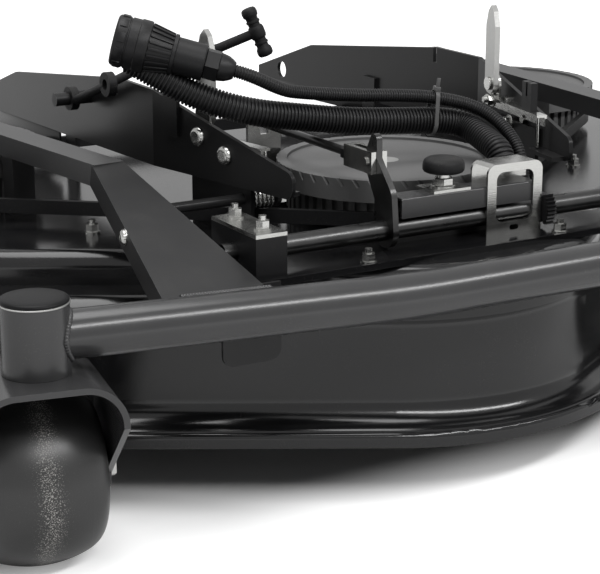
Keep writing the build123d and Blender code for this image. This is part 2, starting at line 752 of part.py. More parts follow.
def index_sector():
    """Toothed quadrant on the height shaft."""
    y, z = HEIGHT_SHAFT_Y, HEIGHT_SHAFT_Z
    rim = SECTOR_R - SECTOR_TOOTH
    half = radians(SECTOR_SPAN / 2)
    fan = [(0, 0)]
    for k in range(2 * SECTOR_TEETH + 1):
        turn = radians(SECTOR_HEADING) - half + k * half / SECTOR_TEETH
        reach = SECTOR_R if k % 2 else rim
        fan.append((reach * cos(turn), reach * sin(turn)))
    plate = Polygon(*fan, align=None) + Circle(SECTOR_HUB_R)
    plate -= Circle(HEIGHT_SHAFT_R)
    face = Plane(origin=(SECTOR_X - SECTOR_W / 2, y, z), x_dir=(0, 1, 0), z_dir=(1, 0, 0))
    return extrude(face * plate, SECTOR_W)


PIN_Y = HEIGHT_SHAFT_Y + LEVER_PIN_BACK
PIN_Z = HEIGHT_SHAFT_Z + LEVER_PIN_UP


def clevis():
    """Forked end on the push rod, round the lever, with its pin."""
    gap = LEVER_T / 2 + GAP
    half = gap + CLEVIS_CHEEK
    low, high = PIN_Z - CLEVIS_H / 2, PIN_Z + CLEVIS_H / 2
    tip = PIN_Y - CLEVIS_H / 2
    back = PIN_Y + CLEVIS_LENGTH
    body = block(-LEVER_X - half, -LEVER_X + half, tip, back, low, high)
    reach = LEVER_W
    body -= block(-LEVER_X - gap, -LEVER_X + gap, tip - 1, PIN_Y + reach, low - 1, high + 1)
    pin = rod(CLEVIS_PIN_R, (-LEVER_X - half - 2, PIN_Y, PIN_Z), (-LEVER_X + half + 2, PIN_Y, PIN_Z))
    return body + pin


def push_rod():
    """Rod from the clevis to its guide, with a lock nut at the clevis."""
    start = PIN_Y + CLEVIS_LENGTH
    bar = rod(ROD_R, (-LEVER_X, start, PIN_Z), (-LEVER_X, behind(ROD_END_BACK), PIN_Z))
    face = Plane(origin=(-LEVER_X, start, PIN_Z), z_dir=(0, 1, 0))
    return bar + extrude(face * RegularPolygon(ROD_NUT_R, 6), ROD_NUT_R)


def rod_guide():
    """Bent bracket on the shell with an upright slot for the push rod."""
    y = behind(GUIDE_BACK)
    half = GUIDE_W / 2
    top = PIN_Z + GUIDE_SLOT_UP + GUIDE_OVER
    plate = block(-LEVER_X - half, -LEVER_X + half, y, y + GUIDE_T, SHELL_TOP_Z, top)
    foot = block(-LEVER_X - half, -LEVER_X + half, y - GUIDE_FOOT, y, SHELL_TOP_Z, SHELL_TOP_Z + GUIDE_T)
    wide = ROD_R + GAP
    slot = block(
        -LEVER_X - wide, -LEVER_X + wide, y - 1, y + GUIDE_T + 1,
        PIN_Z - GUIDE_SLOT_DOWN, PIN_Z + GUIDE_SLOT_UP,
    )
    return plate + foot - slot


# Guard, bumper and window bracket

def guard_channel():
    """Folded guard over the height shaft, standing on the cross plate."""
    y0 = behind(GUARD_FRONT)
    y1 = y0 + GUARD_DEPTH
    x0, x1 = GUARD_LEFT, GUARD_RIGHT
    top = block(x0, x1, y0, y1, GUARD_TOP_Z - GUARD_T, GUARD_TOP_Z)
    face = block(x0, x1, y0, y0 + GUARD_T, GUARD_TOP_Z - GUARD_FACE_H, GUARD_TOP_Z)
    web = block(x0, x1, y1 - GUARD_T, y1, PLATE_TOP_Z, GUARD_TOP_Z)
    whole = top + face + web
    return fillet(top_edges(whole).filter_by(Axis.X), GUARD_EDGE_R)


def bumper_plate():
    """Zinc plate under the rubber bumper."""
    half = BUMPER_PLATE_W / 2
    y = behind(GUARD_FRONT)
    x = BUMPER_PLATE_X
    return block(x - half, x + half, y, y + BUMPER_PLATE_L, GUARD_TOP_Z, GUARD_TOP_Z + ZINC_T)


def rubber_bumper():
    """Rubber cap on a short neck."""
    x = BUMPER_PLATE_X
    y = behind(GUARD_FRONT) + BUMPER_PLATE_L / 2
    z = GUARD_TOP_Z + ZINC_T
    head = upright(BUMPER_R, x, y, z + BUMPER_NECK_H, z + BUMPER_NECK_H + BUMPER_H)
    head = fillet(top_edges(head), BUMPER_R / 3)
    return head + upright(BUMPER_NECK_R, x, y, z, z + BUMPER_NECK_H)


def window_bracket():
    """Zinc loop with a window in front of the guard, its top folded back and down onto the guard."""
    y1 = behind(GUARD_FRONT)
    y0 = y1 - ZINC_T
    y2 = y1 + WINDOW_REACH
    half, top = WINDOW_W / 2, WINDOW_TOP_Z
    x0, x1 = WINDOW_X - half, WINDOW_X + half
    face = block(x0, x1, y0, y1, PLATE_TOP_Z, top)
    flap = block(x0, x1, y1, y2, top - ZINC_T, top)
    back = block(x0, x1, y2 - ZINC_T, y2, GUARD_TOP_Z, top)
    wide = half - WINDOW_FRAME
    low, high = PLATE_TOP_Z + WINDOW_SILL, top - WINDOW_HEAD
    plane = Plane(origin=(WINDOW_X, y0 - 1, 0), x_dir=(0, 0, 1), z_dir=(0, 1, 0))
    opening = Pos((low + high) / 2, 0) * RectangleRounded(high - low, 2 * wide, WINDOW_R)
    slot = Pos(PLATE_TOP_Z + WINDOW_SILL / 2, 0) * Rot(0, 0, 90) * SlotOverall(WINDOW_SLOT, WINDOW_SLOT / 2)
    face -= extrude(plane * (opening + slot), ZINC_T + 2)
    tall = 2 * (top - PLATE_TOP_Z)
    outline = Pos(top - tall / 2, 0) * RectangleRounded(tall, 2 * half, WINDOW_CORNER_R)
    return (face + flap + back) & extrude(plane * outline, 2 * WINDOW_REACH)


# Side plates, brackets and latches

SIDE_AXIS = Plane(
    origin=(-SIDE_X, behind(SIDE_BEND_BACK), 0),
    x_dir=(sin(radians(SIDE_TURN)), -cos(radians(SIDE_TURN)), 0),
    z_dir=(0, 0, 1),
)
INNER = SIDE_T / 2


def on_front(shape):
    """From along, inward and up on the turned front of the left side plate."""
    return SIDE_AXIS.location * shape


def coach_bolts():
    """Round headed bolts through the left side plate, in the plate's frame."""
    bolts = []
    deep = INNER + DECK_BRACKET_T
    for s, z in ((COACH_LOW_S, COACH_LOW_Z), (COACH_HIGH_S, COACH_HIGH_Z)):
        head = rod(COACH_HEAD_R, (s, -INNER, z), (s, -INNER - COACH_HEAD_H, z))
        head = fillet(head.faces().sort_by(Axis.Y)[0].edges(), COACH_HEAD_H - 1)
        bolts.append(head + rod(COACH_R, (s, -INNER, z), (s, deep, z)))
    return bolts


def side_plate():
    """Folded side plate with a turned-in nose, a notch and a hitch hole, on the left."""
    run = SIDE_FRONT_RUN
    nose = Polygon(
        (0, SIDE_BEND_LOW), (run, SIDE_NOSE_LOW), (run, SIDE_NOSE_TOP), (0, SIDE_PEAK_Z), align=None
    )
    nose = fillet(nose.vertices().group_by(Axis.X)[-1], SIDE_NOSE_R)
    front = extrude(Plane(origin=(0, INNER, 0), x_dir=(1, 0, 0), z_dir=(0, -1, 0)) * nose, SIDE_T)
    lap = FRONT_BRACKET_S1 + SIDE_T
    front += block(
        lap, run - SIDE_NOSE_R, INNER - 1, INNER + SIDE_FLANGE,
        SIDE_NOSE_LOW, SIDE_NOSE_LOW + SIDE_T,
    )
    for bolt in coach_bolts():
        front -= bolt
    y0, y1 = behind(SIDE_BEND_BACK), LENGTH / 2
    notch = behind(SIDE_NOTCH_BACK)
    slope = (SIDE_PEAK_Z - SIDE_STEP_Z) / (SIDE_STEP_BACK - SIDE_NOTCH_BACK)
    rear = Polygon(
        (y0, SIDE_BEND_LOW), (y1, SIDE_REAR_LOW), (y1, SIDE_REAR_LOW + SIDE_TAIL_H),
        (behind(SIDE_STEP_BACK), SIDE_STEP_Z),
        (notch + SIDE_NOTCH_W, SIDE_PEAK_Z - slope * SIDE_NOTCH_W),
        (notch + SIDE_NOTCH_W, SIDE_PEAK_Z - SIDE_NOTCH_D), (notch, SIDE_PEAK_Z - SIDE_NOTCH_D),
        (notch, SIDE_PEAK_Z), (y0, SIDE_PEAK_Z), align=None,
    )
    rear -= Pos(behind(SIDE_HITCH_BACK), SIDE_HITCH_Z) * Circle(SIDE_HITCH_R)
    face = Plane(origin=(-SIDE_X - INNER, 0, 0), x_dir=(0, 1, 0), z_dir=(1, 0, 0))
    plate = extrude(face * rear, SIDE_T)
    plate += upright(INNER, -SIDE_X, y0, SIDE_BEND_LOW, SIDE_PEAK_Z)
    return plate + on_front(front)


def side_plate_bolts():
    """Coach bolts of both side plates."""
    bolts = [on_front(b) for b in coach_bolts()]
    return group(*bolts, *[mirrored(b) for b in bolts])


def tension_hole():
    return rod(
        TENSION_R, (-TENSION_OUT, behind(TENSION_BACK), TENSION_Z),
        (-TENSION_IN, behind(TENSION_BACK), TENSION_Z),
    )


def deck_brackets():
    """Angle brackets that carry the side plates on the shell."""
    t = DECK_BRACKET_T
    leg = block(FRONT_BRACKET_S0, FRONT_BRACKET_S1, INNER, INNER + t, SHELL_TOP_Z, FRONT_BRACKET_TOP)
    foot = block(
        FRONT_BRACKET_S0, FRONT_BRACKET_S1, INNER, INNER + DECK_BRACKET_FOOT, SHELL_TOP_Z, SHELL_TOP_Z + t
    )
    leg -= block(
        BELT_WINDOW_S0, BELT_WINDOW_S1, 0, INNER + 2 * t, SHELL_TOP_Z + t, BELT_WINDOW_TOP
    )
    front = on_front(leg + foot)
    x0 = -SIDE_X + INNER
    y0 = behind(REAR_BRACKET_BACK)
    y1 = y0 + REAR_BRACKET_L
    rear = block(x0, x0 + t, y0, y1, SHELL_TOP_Z, REAR_BRACKET_TOP)
    rear += block(x0, x0 + DECK_BRACKET_FOOT, y0, y1, SHELL_TOP_Z, SHELL_TOP_Z + t)
    return group(front - tension_hole(), rear, mirrored(front), mirrored(rear))


def latch_bracket():
    """Zinc angle along the plate, with the ear and pin that the latch lever turns on."""
    low = LATCH_TOP_Z - LATCH_FACE_H
    strip = block(LATCH_S0, LATCH_S1, INNER, INNER + ZINC_T, low, LATCH_TOP_Z)
    strip += block(LATCH_S0, LATCH_S1, INNER, INNER + LATCH_LEDGE, LATCH_TOP_Z - ZINC_T, LATCH_TOP_Z)
    out = INNER + LATCH_LEDGE
    ear = block(
        LATCH_PIVOT_S - LATCH_EAR_R, LATCH_PIVOT_S + LATCH_EAR_R,
        out - ZINC_T, out, LATCH_TOP_Z - ZINC_T, LATCH_PIVOT_Z,
    )
    ear += rod(LATCH_EAR_R, (LATCH_PIVOT_S, out - ZINC_T, LATCH_PIVOT_Z), (LATCH_PIVOT_S, out, LATCH_PIVOT_Z))
    far = out + LATCH_LEVER_T + 2 * GAP
    pin = rod(LATCH_PIN_R, (LATCH_PIVOT_S, out - 1, LATCH_PIVOT_Z), (LATCH_PIVOT_S, far, LATCH_PIVOT_Z))
    pin += rod(
        LATCH_PIN_R + ZINC_T, (LATCH_PIVOT_S, far, LATCH_PIVOT_Z),
        (LATCH_PIVOT_S, far + ZINC_T, LATCH_PIVOT_Z),
    )
    whole = strip + ear + pin
    for bolt in coach_bolts():
        whole -= bolt
    return on_front(whole)


def latch_lever():
    """Flat pointed lever."""
    half, tip = LATCH_LEVER_W / 2, LATCH_LEVER_TIP / 2
    top = LATCH_PIVOT_Z + LATCH_LEVER_UP
    flat = Polygon(
        (-half, LATCH_PIVOT_Z), (half, LATCH_PIVOT_Z), (half, top - LATCH_LEVER_W),
        (tip, top - tip), (0, top), (-tip, top - tip), (-half, top - LATCH_LEVER_W), align=None,
    )
    flat += Pos(0, LATCH_PIVOT_Z) * Circle(half)
    flat -= Pos(0, LATCH_PIVOT_Z) * Circle(LATCH_PIN_R + SHAFT_PLAY)
    near = INNER + LATCH_LEDGE + GAP
    plane = Plane(origin=(LATCH_PIVOT_S, near, 0), x_dir=(-1, 0, 0), z_dir=(0, 1, 0))
    return on_front(extrude(plane * flat, LATCH_LEVER_T))


def latch_post():
    """Slotted black post on the ledge."""
    y0 = INNER + ZINC_T / 2
    y1 = INNER + LATCH_LEDGE - ZINC_T
    half = POST_W / 2
    post = block(POST_S - half, POST_S + half, y0, y1, LATCH_TOP_Z, LATCH_TOP_Z + POST_H)
    cut = POST_SLOT_W / 2
    low = LATCH_TOP_Z + POST_H - POST_SLOT_D
    post -= block(POST_S - cut, POST_S + cut, y0 - 1, y1 + 1, low, LATCH_TOP_Z + POST_H + 1)
    return on_front(post)


def latch_wire():
    """Thin wire hanging from the end of the ledge."""
    s = LATCH_S1 - 2 * WIRE_R
    y = INNER + LATCH_LEDGE - 2 * WIRE_R
    top = LATCH_TOP_Z - ZINC_T
    return on_front(upright(WIRE_R, s, y, top - WIRE_DROP, top))


# Belt tensioner

def tension_rod():
    """Tensioner rod through the left deck bracket, with a collar that holds the spring."""
    y = behind(TENSION_BACK)
    bar = tension_hole()
    return bar + rod(
        TENSION_NUT_R, (-TENSION_IN - TENSION_NUT_H, y, TENSION_Z), (-TENSION_IN, y, TENSION_Z)
    )


def tension_spring():
    """Coil spring on the tensioner rod, between the bracket and the collar."""
    y = behind(TENSION_BACK)
    face = SIDE_NOSE_X + (TENSION_BACK - SIDE_NOSE_BACK) * tan(radians(SIDE_TURN))
    start = face - (INNER + DECK_BRACKET_T) / cos(radians(SIDE_TURN)) - SPRING_WIRE_R - 3
    end = TENSION_IN + TENSION_NUT_H + SPRING_WIRE_R
    coil = Helix((start - end) / SPRING_TURNS, start - end, SPRING_COIL_R)
    spring = sweep(Plane(origin=coil @ 0, z_dir=coil % 0) * Circle(SPRING_WIRE_R), path=coil)
    return Pos(-end, y, TENSION_Z) * Rot(0, -90, 0) * spring


# Plug, holder, strap and hoses

PLUG_AXIS = Vector(
    cos(radians(PLUG_DROP)) * cos(radians(PLUG_HEADING)),
    cos(radians(PLUG_DROP)) * sin(radians(PLUG_HEADING)),
    -sin(radians(PLUG_DROP)),
)
PLUG_BODY_L = PLUG_COLLAR_L + PLUG_RING_L + PLUG_TAPER_L + PLUG_SLEEVE_L
PLUG_L = PLUG_BODY_L + PLUG_NUT_L + PLUG_NUT_TIP_L


def placed(point):
    """A place given as X, distance behind the front tube, and Z."""
    x, back, z = point
    return (x, behind(back), z)


def plug_point(along):
    """A place on the plug's axis, from its rear end."""
    return Vector(*placed(PLUG_MID)) + PLUG_AXIS * (along - PLUG_L / 2)


def plug_form():
    """Round plug: collar, ring, taper and sleeve, without its ribs."""
    ring = PLUG_COLLAR_L
    taper = ring + PLUG_RING_L
    sleeve = taper + PLUG_TAPER_L
    form = rod(PLUG_COLLAR_R, plug_point(0), plug_point(ring))
    form += rod(PLUG_RING_R, plug_point(ring), plug_point(taper))
    wide = Plane(origin=plug_point(taper), z_dir=PLUG_AXIS) * Circle(PLUG_COLLAR_R - PLUG_RIB_R)
    slim = Plane(origin=plug_point(sleeve), z_dir=PLUG_AXIS) * Circle(PLUG_SLEEVE_R + PLUG_RIB_R)
    form += loft([wide.face(), slim.face()])
    return form + rod(PLUG_SLEEVE_R, plug_point(sleeve), plug_point(PLUG_BODY_L))


def plug():
    """The plug with dents round its collar."""
    plane = Plane(origin=plug_point(0), z_dir=PLUG_AXIS)
    dents = [loc * Circle(PLUG_RIB_R) for loc in PolarLocations(PLUG_COLLAR_R, PLUG_RIBS)]
    return plug_form() - extrude(plane * (Sketch() + dents), PLUG_COLLAR_L * 0.8)


def plug_nut():
    """Gland nut that grips the thin hose."""
    plane = Plane(origin=plug_point(PLUG_BODY_L), z_dir=PLUG_AXIS)
    nut = extrude(plane * RegularPolygon(PLUG_NUT_R, 6), PLUG_NUT_L)
    wide = Plane(origin=plug_point(PLUG_BODY_L + PLUG_NUT_L), z_dir=PLUG_AXIS) * Circle(PLUG_NUT_R - 3)
    slim = Plane(origin=plug_point(PLUG_L), z_dir=PLUG_AXIS) * Circle(PLUG_NUT_TIP_R)
    return nut + loft([wide.face(), slim.face()])


def plug_holder():
    """Post on the outside of the left side plate with an arm to the back of the plug."""
    post = on_front(block(HOLDER_S0, HOLDER_S1, -INNER - HOLDER_T, -INNER, HOLDER_LOW_Z, HOLDER_TOP_Z))
    z = HOLDER_TOP_Z - HOLDER_ARM_R
    along = (HOLDER_S0 + HOLDER_S1) / 2
    start = SIDE_AXIS.from_local_coords((along, -INNER - HOLDER_T / 2, z))
    arm = rod(HOLDER_ARM_R, start, plug_point(PLUG_COLLAR_L + PLUG_RING_L + PLUG_TAPER_L / 2))
    return (post + arm - plug_form()).solids().sort_by(SortBy.VOLUME)[-1]


def peg():
    """Round peg on the left side plate."""
    x = -SIDE_X - INNER
    return rod(PEG_R, (x, behind(PEG_BACK), PEG_Z), (x - PEG_LENGTH, behind(PEG_BACK), PEG_Z))


def strap():
    """Rubber strap: an eye on the peg, a ring, and a T end past the plug."""
    x = -SIDE_X - INNER - PEG_LENGTH / 2
    y = behind(PEG_BACK)
    ring = placed((x, 496.5, 390))
    points = [
        (x, y - PEG_R - STRAP_R, PEG_Z), ring, placed((-213, 484.5, 410)), placed((-166, 452.5, 424)),
        placed((-143, 432.5, 432)), placed((-104, 409.2, 451)),
    ]
    band = hose(STRAP_R, points, STRAP_EYE_R)
    half = STRAP_EYE_W / 2
    band += rod(STRAP_EYE_R, (x - half, y, PEG_Z), (x + half, y, PEG_Z))
    band -= rod(PEG_R, (x - PEG_LENGTH, y, PEG_Z), (x + PEG_LENGTH, y, PEG_Z))
    z = ring[2]
    eye = rod(STRAP_EYE_R, (x - half, ring[1], z), (x + half, ring[1], z))
    band += eye
    band -= rod(PEG_R - 1.5, (x - STRAP_EYE_W, ring[1], z), (x + STRAP_EYE_W, ring[1], z))
    return band + rod(STRAP_T_R, placed((-113, 414.5, 477)), placed((-95, 403.9, 425)))


def bends(points, largest):
    """The radius each corner has room for, up to a largest one."""
    places = [Vector(*p) for p in points]
    runs = [(b - a).length for a, b in zip(places, places[1:])]
    radii = []
    for k in range(1, len(places) - 1):
        turn = (places[k] - places[k - 1]).get_angle(places[k + 1] - places[k])
        room = min(runs[k - 1], runs[k]) * 0.49
        radii.append(min(largest, room / tan(radians(max(turn, 1.0) / 2))))
    return radii


def hose(radius, points, largest):
    """Round hose: straight runs joined by tangent arcs."""
    path = FilletPolyline(*points, radius=bends(points, largest))
    return sweep(Plane(origin=path @ 0, z_dir=path % 0) * Circle(radius), path=path)


THICK_RUN = (
    (-290, 364.5, 441), (-258, 338.5, 418), (-222, 319.5, 397), (-176.5, 298.5, 381.5), (-117, 288, 372),
    (-56.6, 279, 363), (4.6, 269, 359), (54.6, 263.5, 356), (84, 252.5, 350.5), (86, 218.5, 340),
)
THIN_RUN = (
    (-141, 285.5, 405), (-117, 285.5, 400), (-57, 279, 392.5), (4, 269, 388.5), (44, 261.5, 384.5),
    (92, 242.5, 373), (110, 208.5, 352),
)
THICK_PATH = [placed(p) for p in THICK_RUN]
THICK_PATH += [(*THICK_ENTRY, 326), (*THICK_ENTRY, SHELL_TOP_Z + ENTRY_H)]
THIN_PATH = [placed(p) for p in THIN_RUN]
THIN_PATH += [(*THIN_ENTRY, 318), (*THIN_ENTRY, SHELL_TOP_Z + ENTRY_H)]
HOSE_BEND_R = 70.0


def thick_hose():
    """Thick hose from the underside of the plug to the shell behind the guard."""
    return (hose(THICK_HOSE_R, THICK_PATH, HOSE_BEND_R) - plug_form()).solids().sort_by(SortBy.VOLUME)[-1]


def thin_hose():
    """Thin hose from the plug's gland to the shell behind the guard."""
    a = plug_point(PLUG_L)
    b = plug_point(PLUG_L + GLAND_RUN)
    return hose(THIN_HOSE_R, [a, b, *THIN_PATH], HOSE_BEND_R)


def hose_entry():
    """Grommets on the shell where the hoses go in."""
    rings = []
    for radius, place in ((THICK_HOSE_R, THICK_ENTRY), (THIN_HOSE_R, THIN_ENTRY)):
        rings.append(upright(radius + ENTRY_RIM, *place, SHELL_TOP_Z, SHELL_TOP_Z + ENTRY_H))
    return group(*rings)


PIECES = {
    "deck_shell": deck_shell,
    "spindle_housings": lambda: group(*[spindle_housing(x, y) for x, y in SPINDLES.values()]),
    "drive_belt": drive_belt,
    "front_tube": front_tube,
    "cross_plate": cross_plate,
    "bearing_blocks": lambda: group(bearing_block(-1), bearing_block(1)),
    "bearing_plates": bearing_plates,
    "flange_nuts": flange_nuts,
    "height_shaft": height_shaft,
    "index_sector": index_sector,
    "clevis": clevis,
    "push_rod": push_rod,
    "rod_guide": rod_guide,
    "guard_channel": guard_channel,
    "bumper_plate": bumper_plate,
    "rubber_bumper": rubber_bumper,
    "window_bracket": window_bracket,
    "side_plate_bolts": side_plate_bolts,
    "deck_brackets": deck_brackets,
    "tension_rod": tension_rod,
    "tension_spring": tension_spring,
    "plug": plug,
    "plug_nut": plug_nut,
    "plug_holder": plug_holder,
    "strap_peg": peg,
    "rubber_strap": strap,
    "thick_hose": thick_hose,
    "thin_hose": thin_hose,
    "hose_entry": hose_entry,
    "arm_posts": lambda: both(arm_post()),
    "pivot_caps": lambda: both(pivot_cap()),
    "latch_brackets": lambda: both(latch_bracket()),
    "latch_posts": lambda: mirrored(latch_post()),
    "latch_wires": lambda: both(latch_wire()),
}
for spindle in SPINDLES:
    PIECES[spindle + "_spindle"] = lambda n=spindle: spindle_shaft(n)
    PIECES[spindle + "_pulley"] = lambda n=spindle: pulley(n)
    PIECES[spindle + "_blade"] = lambda n=spindle: blade(n)
PAIRS = {
    "pivot_housing": pivot_housing,
    "fork": caster_fork,
    "axle": caster_axle,
    "tyre": caster_tyre,
    "hub": caster_hub,
    "arm": arm,
    "side_plate": side_plate,
    "latch_lever": latch_lever,
}

os.makedirs("parts", exist_ok=True)
for name, make in PIECES.items():
    export_step(make(), "parts/" + name + ".step")
for name, make in PAIRS.items():
    left = make()
    export_step(left, "parts/left_" + name + ".step")
    export_step(mirrored(left), "parts/right_" + name + ".step")
print("hose bends", bends(THICK_PATH, HOSE_BEND_R), bends(THIN_PATH, HOSE_BEND_R))
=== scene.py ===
"""Looks of the mower deck: paint, zinc, rubber, corrugated hoses and small fittings on the CAD frame."""
import json
import math

import bpy
from mathutils import Matrix, Vector


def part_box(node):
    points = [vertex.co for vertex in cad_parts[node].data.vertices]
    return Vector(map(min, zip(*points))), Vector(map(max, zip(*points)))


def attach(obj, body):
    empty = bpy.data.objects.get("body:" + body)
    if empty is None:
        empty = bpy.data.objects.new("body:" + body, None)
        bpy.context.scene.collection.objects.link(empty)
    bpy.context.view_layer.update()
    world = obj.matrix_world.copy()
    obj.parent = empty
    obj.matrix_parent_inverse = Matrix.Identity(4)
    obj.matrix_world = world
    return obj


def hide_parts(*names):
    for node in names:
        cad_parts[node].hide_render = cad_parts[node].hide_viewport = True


bl_info = {
    "name": "Mower deck finishes",
    "version": (1, 0, 0),
    "blender": (4, 5, 0),
    "location": "View3D > Sidebar > Mower deck",
    "description": "Paints a mower deck and adds its hoses, ties, welds and small fittings",
    "category": "Object",
}

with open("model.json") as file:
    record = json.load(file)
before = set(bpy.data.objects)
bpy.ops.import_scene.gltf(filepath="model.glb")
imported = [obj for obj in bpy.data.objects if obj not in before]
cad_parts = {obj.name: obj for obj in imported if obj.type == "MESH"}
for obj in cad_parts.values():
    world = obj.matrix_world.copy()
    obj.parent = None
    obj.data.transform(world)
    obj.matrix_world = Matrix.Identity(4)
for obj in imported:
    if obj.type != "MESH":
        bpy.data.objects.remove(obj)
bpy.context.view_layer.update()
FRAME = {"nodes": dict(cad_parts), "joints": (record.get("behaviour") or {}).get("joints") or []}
NODES = FRAME["nodes"]
IMAGE_W = 600
FOCAL_PX = 1855.0
SENSOR_MM = 36.0

# Routes of the two hoses, in millimetres, as in the part's source
THICK_ROUTE = (
    (-290, -124, 441), (-258, -150, 418), (-222, -169, 397), (-176.5, -190, 381.5), (-117, -200.5, 372),
    (-56.6, -209.5, 363), (4.6, -219.5, 359), (54.6, -225, 356), (84, -236, 350.5), (86, -270, 340),
    (82, -323, 326), (82, -323, 256),
)
THIN_ROUTE = (
    (-192.9, -188.2, 428.8), (-177.9, -197, 424.1), (-141, -203, 405), (-117, -203, 400),
    (-57, -209.5, 392.5), (4, -219.5, 388.5), (44, -227, 384.5), (92, -246, 373),
    (110, -280, 352), (112, -316, 318), (112, -316, 256),
)


class DeckSizes(bpy.types.PropertyGroup):
    """Sizes that a user would change."""

    thick_hose_d: bpy.props.FloatProperty(
        name="Thick hose", description="Outside diameter of the thick hose",
        default=0.031, min=0.01, unit="LENGTH",
    )
    thick_pitch: bpy.props.FloatProperty(
        name="Thick hose ribs", description="Distance from rib to rib on the thick hose",
        default=0.0042, min=0.002, unit="LENGTH",
    )
    thin_hose_d: bpy.props.FloatProperty(
        name="Thin hose", description="Outside diameter of the thin hose",
        default=0.015, min=0.005, unit="LENGTH",
    )
    thin_pitch: bpy.props.FloatProperty(
        name="Thin hose ribs", description="Distance from rib to rib on the thin hose",
        default=0.003, min=0.002, unit="LENGTH",
    )


class DeckColours(bpy.types.PropertyGroup):
    """Colours that a user would change."""

    shell: bpy.props.FloatVectorProperty(
        name="Deck paint", description="Gloss paint of the pressed deck", subtype="COLOR",
        default=(0.006, 0.006, 0.0065), size=3, min=0, max=1,
    )
    # Also the base of the arms' and side plates' paints, which are darker copies of it as painted shade
    frame: bpy.props.FloatVectorProperty(
        name="Frame", description="Satin paint of the tube frame", subtype="COLOR",
        default=(0.032, 0.032, 0.033), size=3, min=0, max=1,
    )
    zinc: bpy.props.FloatVectorProperty(
        name="Zinc", description="Plated brackets, bolts and nuts", subtype="COLOR",
        default=(0.5, 0.5, 0.485), size=3, min=0, max=1,
    )
    plastic: bpy.props.FloatVectorProperty(
        name="Plastic", description="Black moulded pieces and hoses", subtype="COLOR",
        default=(0.0045, 0.0045, 0.005), size=3, min=0, max=1,
    )
    pulley: bpy.props.FloatVectorProperty(
        name="Pulleys", description="Grey moulded pulleys", subtype="COLOR",
        default=(0.1, 0.1, 0.1), size=3, min=0, max=1,
    )


def sizes():
    return bpy.context.scene.deck_sizes


def colours():
    return bpy.context.scene.deck_colours


# Shader helpers

def new_group(name, inputs, outputs):
    """An empty shader group with named sockets; returns the tree and its two end nodes."""
    tree = bpy.data.node_groups.new(name, "ShaderNodeTree")
    for label, kind, value in inputs:
        socket = tree.interface.new_socket(label, in_out="INPUT", socket_type=kind)
        socket.default_value = value
    for label, kind in outputs:
        tree.interface.new_socket(label, in_out="OUTPUT", socket_type=kind)
    return tree, tree.nodes.new("NodeGroupInput"), tree.nodes.new("NodeGroupOutput")


def node(tree, kind, links=None, **values):
    """A shader node with its settings, and its inputs linked or set by name."""
    made = tree.nodes.new("ShaderNode" + kind)
    for key, value in values.items():
        setattr(made, key, value)
    for key, value in (links or {}).items():
        if isinstance(value, bpy.types.NodeSocket):
            tree.links.new(value, made.inputs[key])
        else:
            made.inputs[key].default_value = value
    return made


def ramp(tree, fac, low, high):
    """Smooth step from low to high."""
    ends = {"Value": fac, "From Min": low, "From Max": high}
    made = node(tree, "MapRange", ends, interpolation_type="SMOOTHSTEP")
    return made.outputs["Result"]


def mix_colour(tree, fac, a, b):
    """Blend of two colours."""
    made = node(tree, "Mix", data_type="RGBA")
    for socket, value in zip((made.inputs[0], made.inputs[6], made.inputs[7]), (fac, a, b)):
        if isinstance(value, bpy.types.NodeSocket):
            tree.links.new(value, socket)
        else:
            socket.default_value = value
    return made.outputs[2]


def maths(tree, operation, a, b=0.0):
    """One arithmetic step."""
    made = node(tree, "Math", operation=operation)
    for socket, value in zip(made.inputs, (a, b)):
        if isinstance(value, bpy.types.NodeSocket):
            tree.links.new(value, socket)
        else:
            socket.default_value = value
    return made.outputs[0]


def skin_group():
    """Paint skin: orange peel height, cloudy shade, and dust as specks and on upper faces."""
    tree, start, end = new_group(
        "Paint skin",
        [("Peel Scale", "NodeSocketFloat", 900.0), ("Dust", "NodeSocketFloat", 0.3)],
        [("Height", "NodeSocketFloat"), ("Cloud", "NodeSocketFloat"), ("Dust", "NodeSocketFloat")],
    )
    place = node(tree, "TexCoord").outputs["Object"]
    peel = node(tree, "TexNoise", {"Vector": place, "Scale": start.outputs["Peel Scale"], "Detail": 2.0})
    cloud = node(tree, "TexNoise", {"Vector": place, "Scale": 9.0, "Detail": 5.0})
    speck = node(tree, "TexNoise", {"Vector": place, "Scale": 700.0, "Detail": 1.0})
    drift = node(tree, "TexNoise", {"Vector": place, "Scale": 26.0, "Detail": 6.0})
    patches = ramp(tree, drift.outputs["Fac"], 0.4, 0.7)
    spots = maths(tree, "MULTIPLY", ramp(tree, speck.outputs["Fac"], 0.62, 0.72), patches)
    up = node(tree, "SeparateXYZ", {"Vector": node(tree, "NewGeometry").outputs["Normal"]}).outputs["Z"]
    lying = maths(tree, "MULTIPLY", ramp(tree, up, 0.2, 1.0), ramp(tree, drift.outputs["Fac"], 0.35, 0.75))
    both = maths(tree, "ADD", spots, maths(tree, "MULTIPLY", lying, 0.3))
    tree.links.new(peel.outputs["Fac"], end.inputs["Height"])
    tree.links.new(cloud.outputs["Fac"], end.inputs["Cloud"])
    tree.links.new(maths(tree, "MULTIPLY", both, start.outputs["Dust"]), end.inputs["Dust"])
    return tree


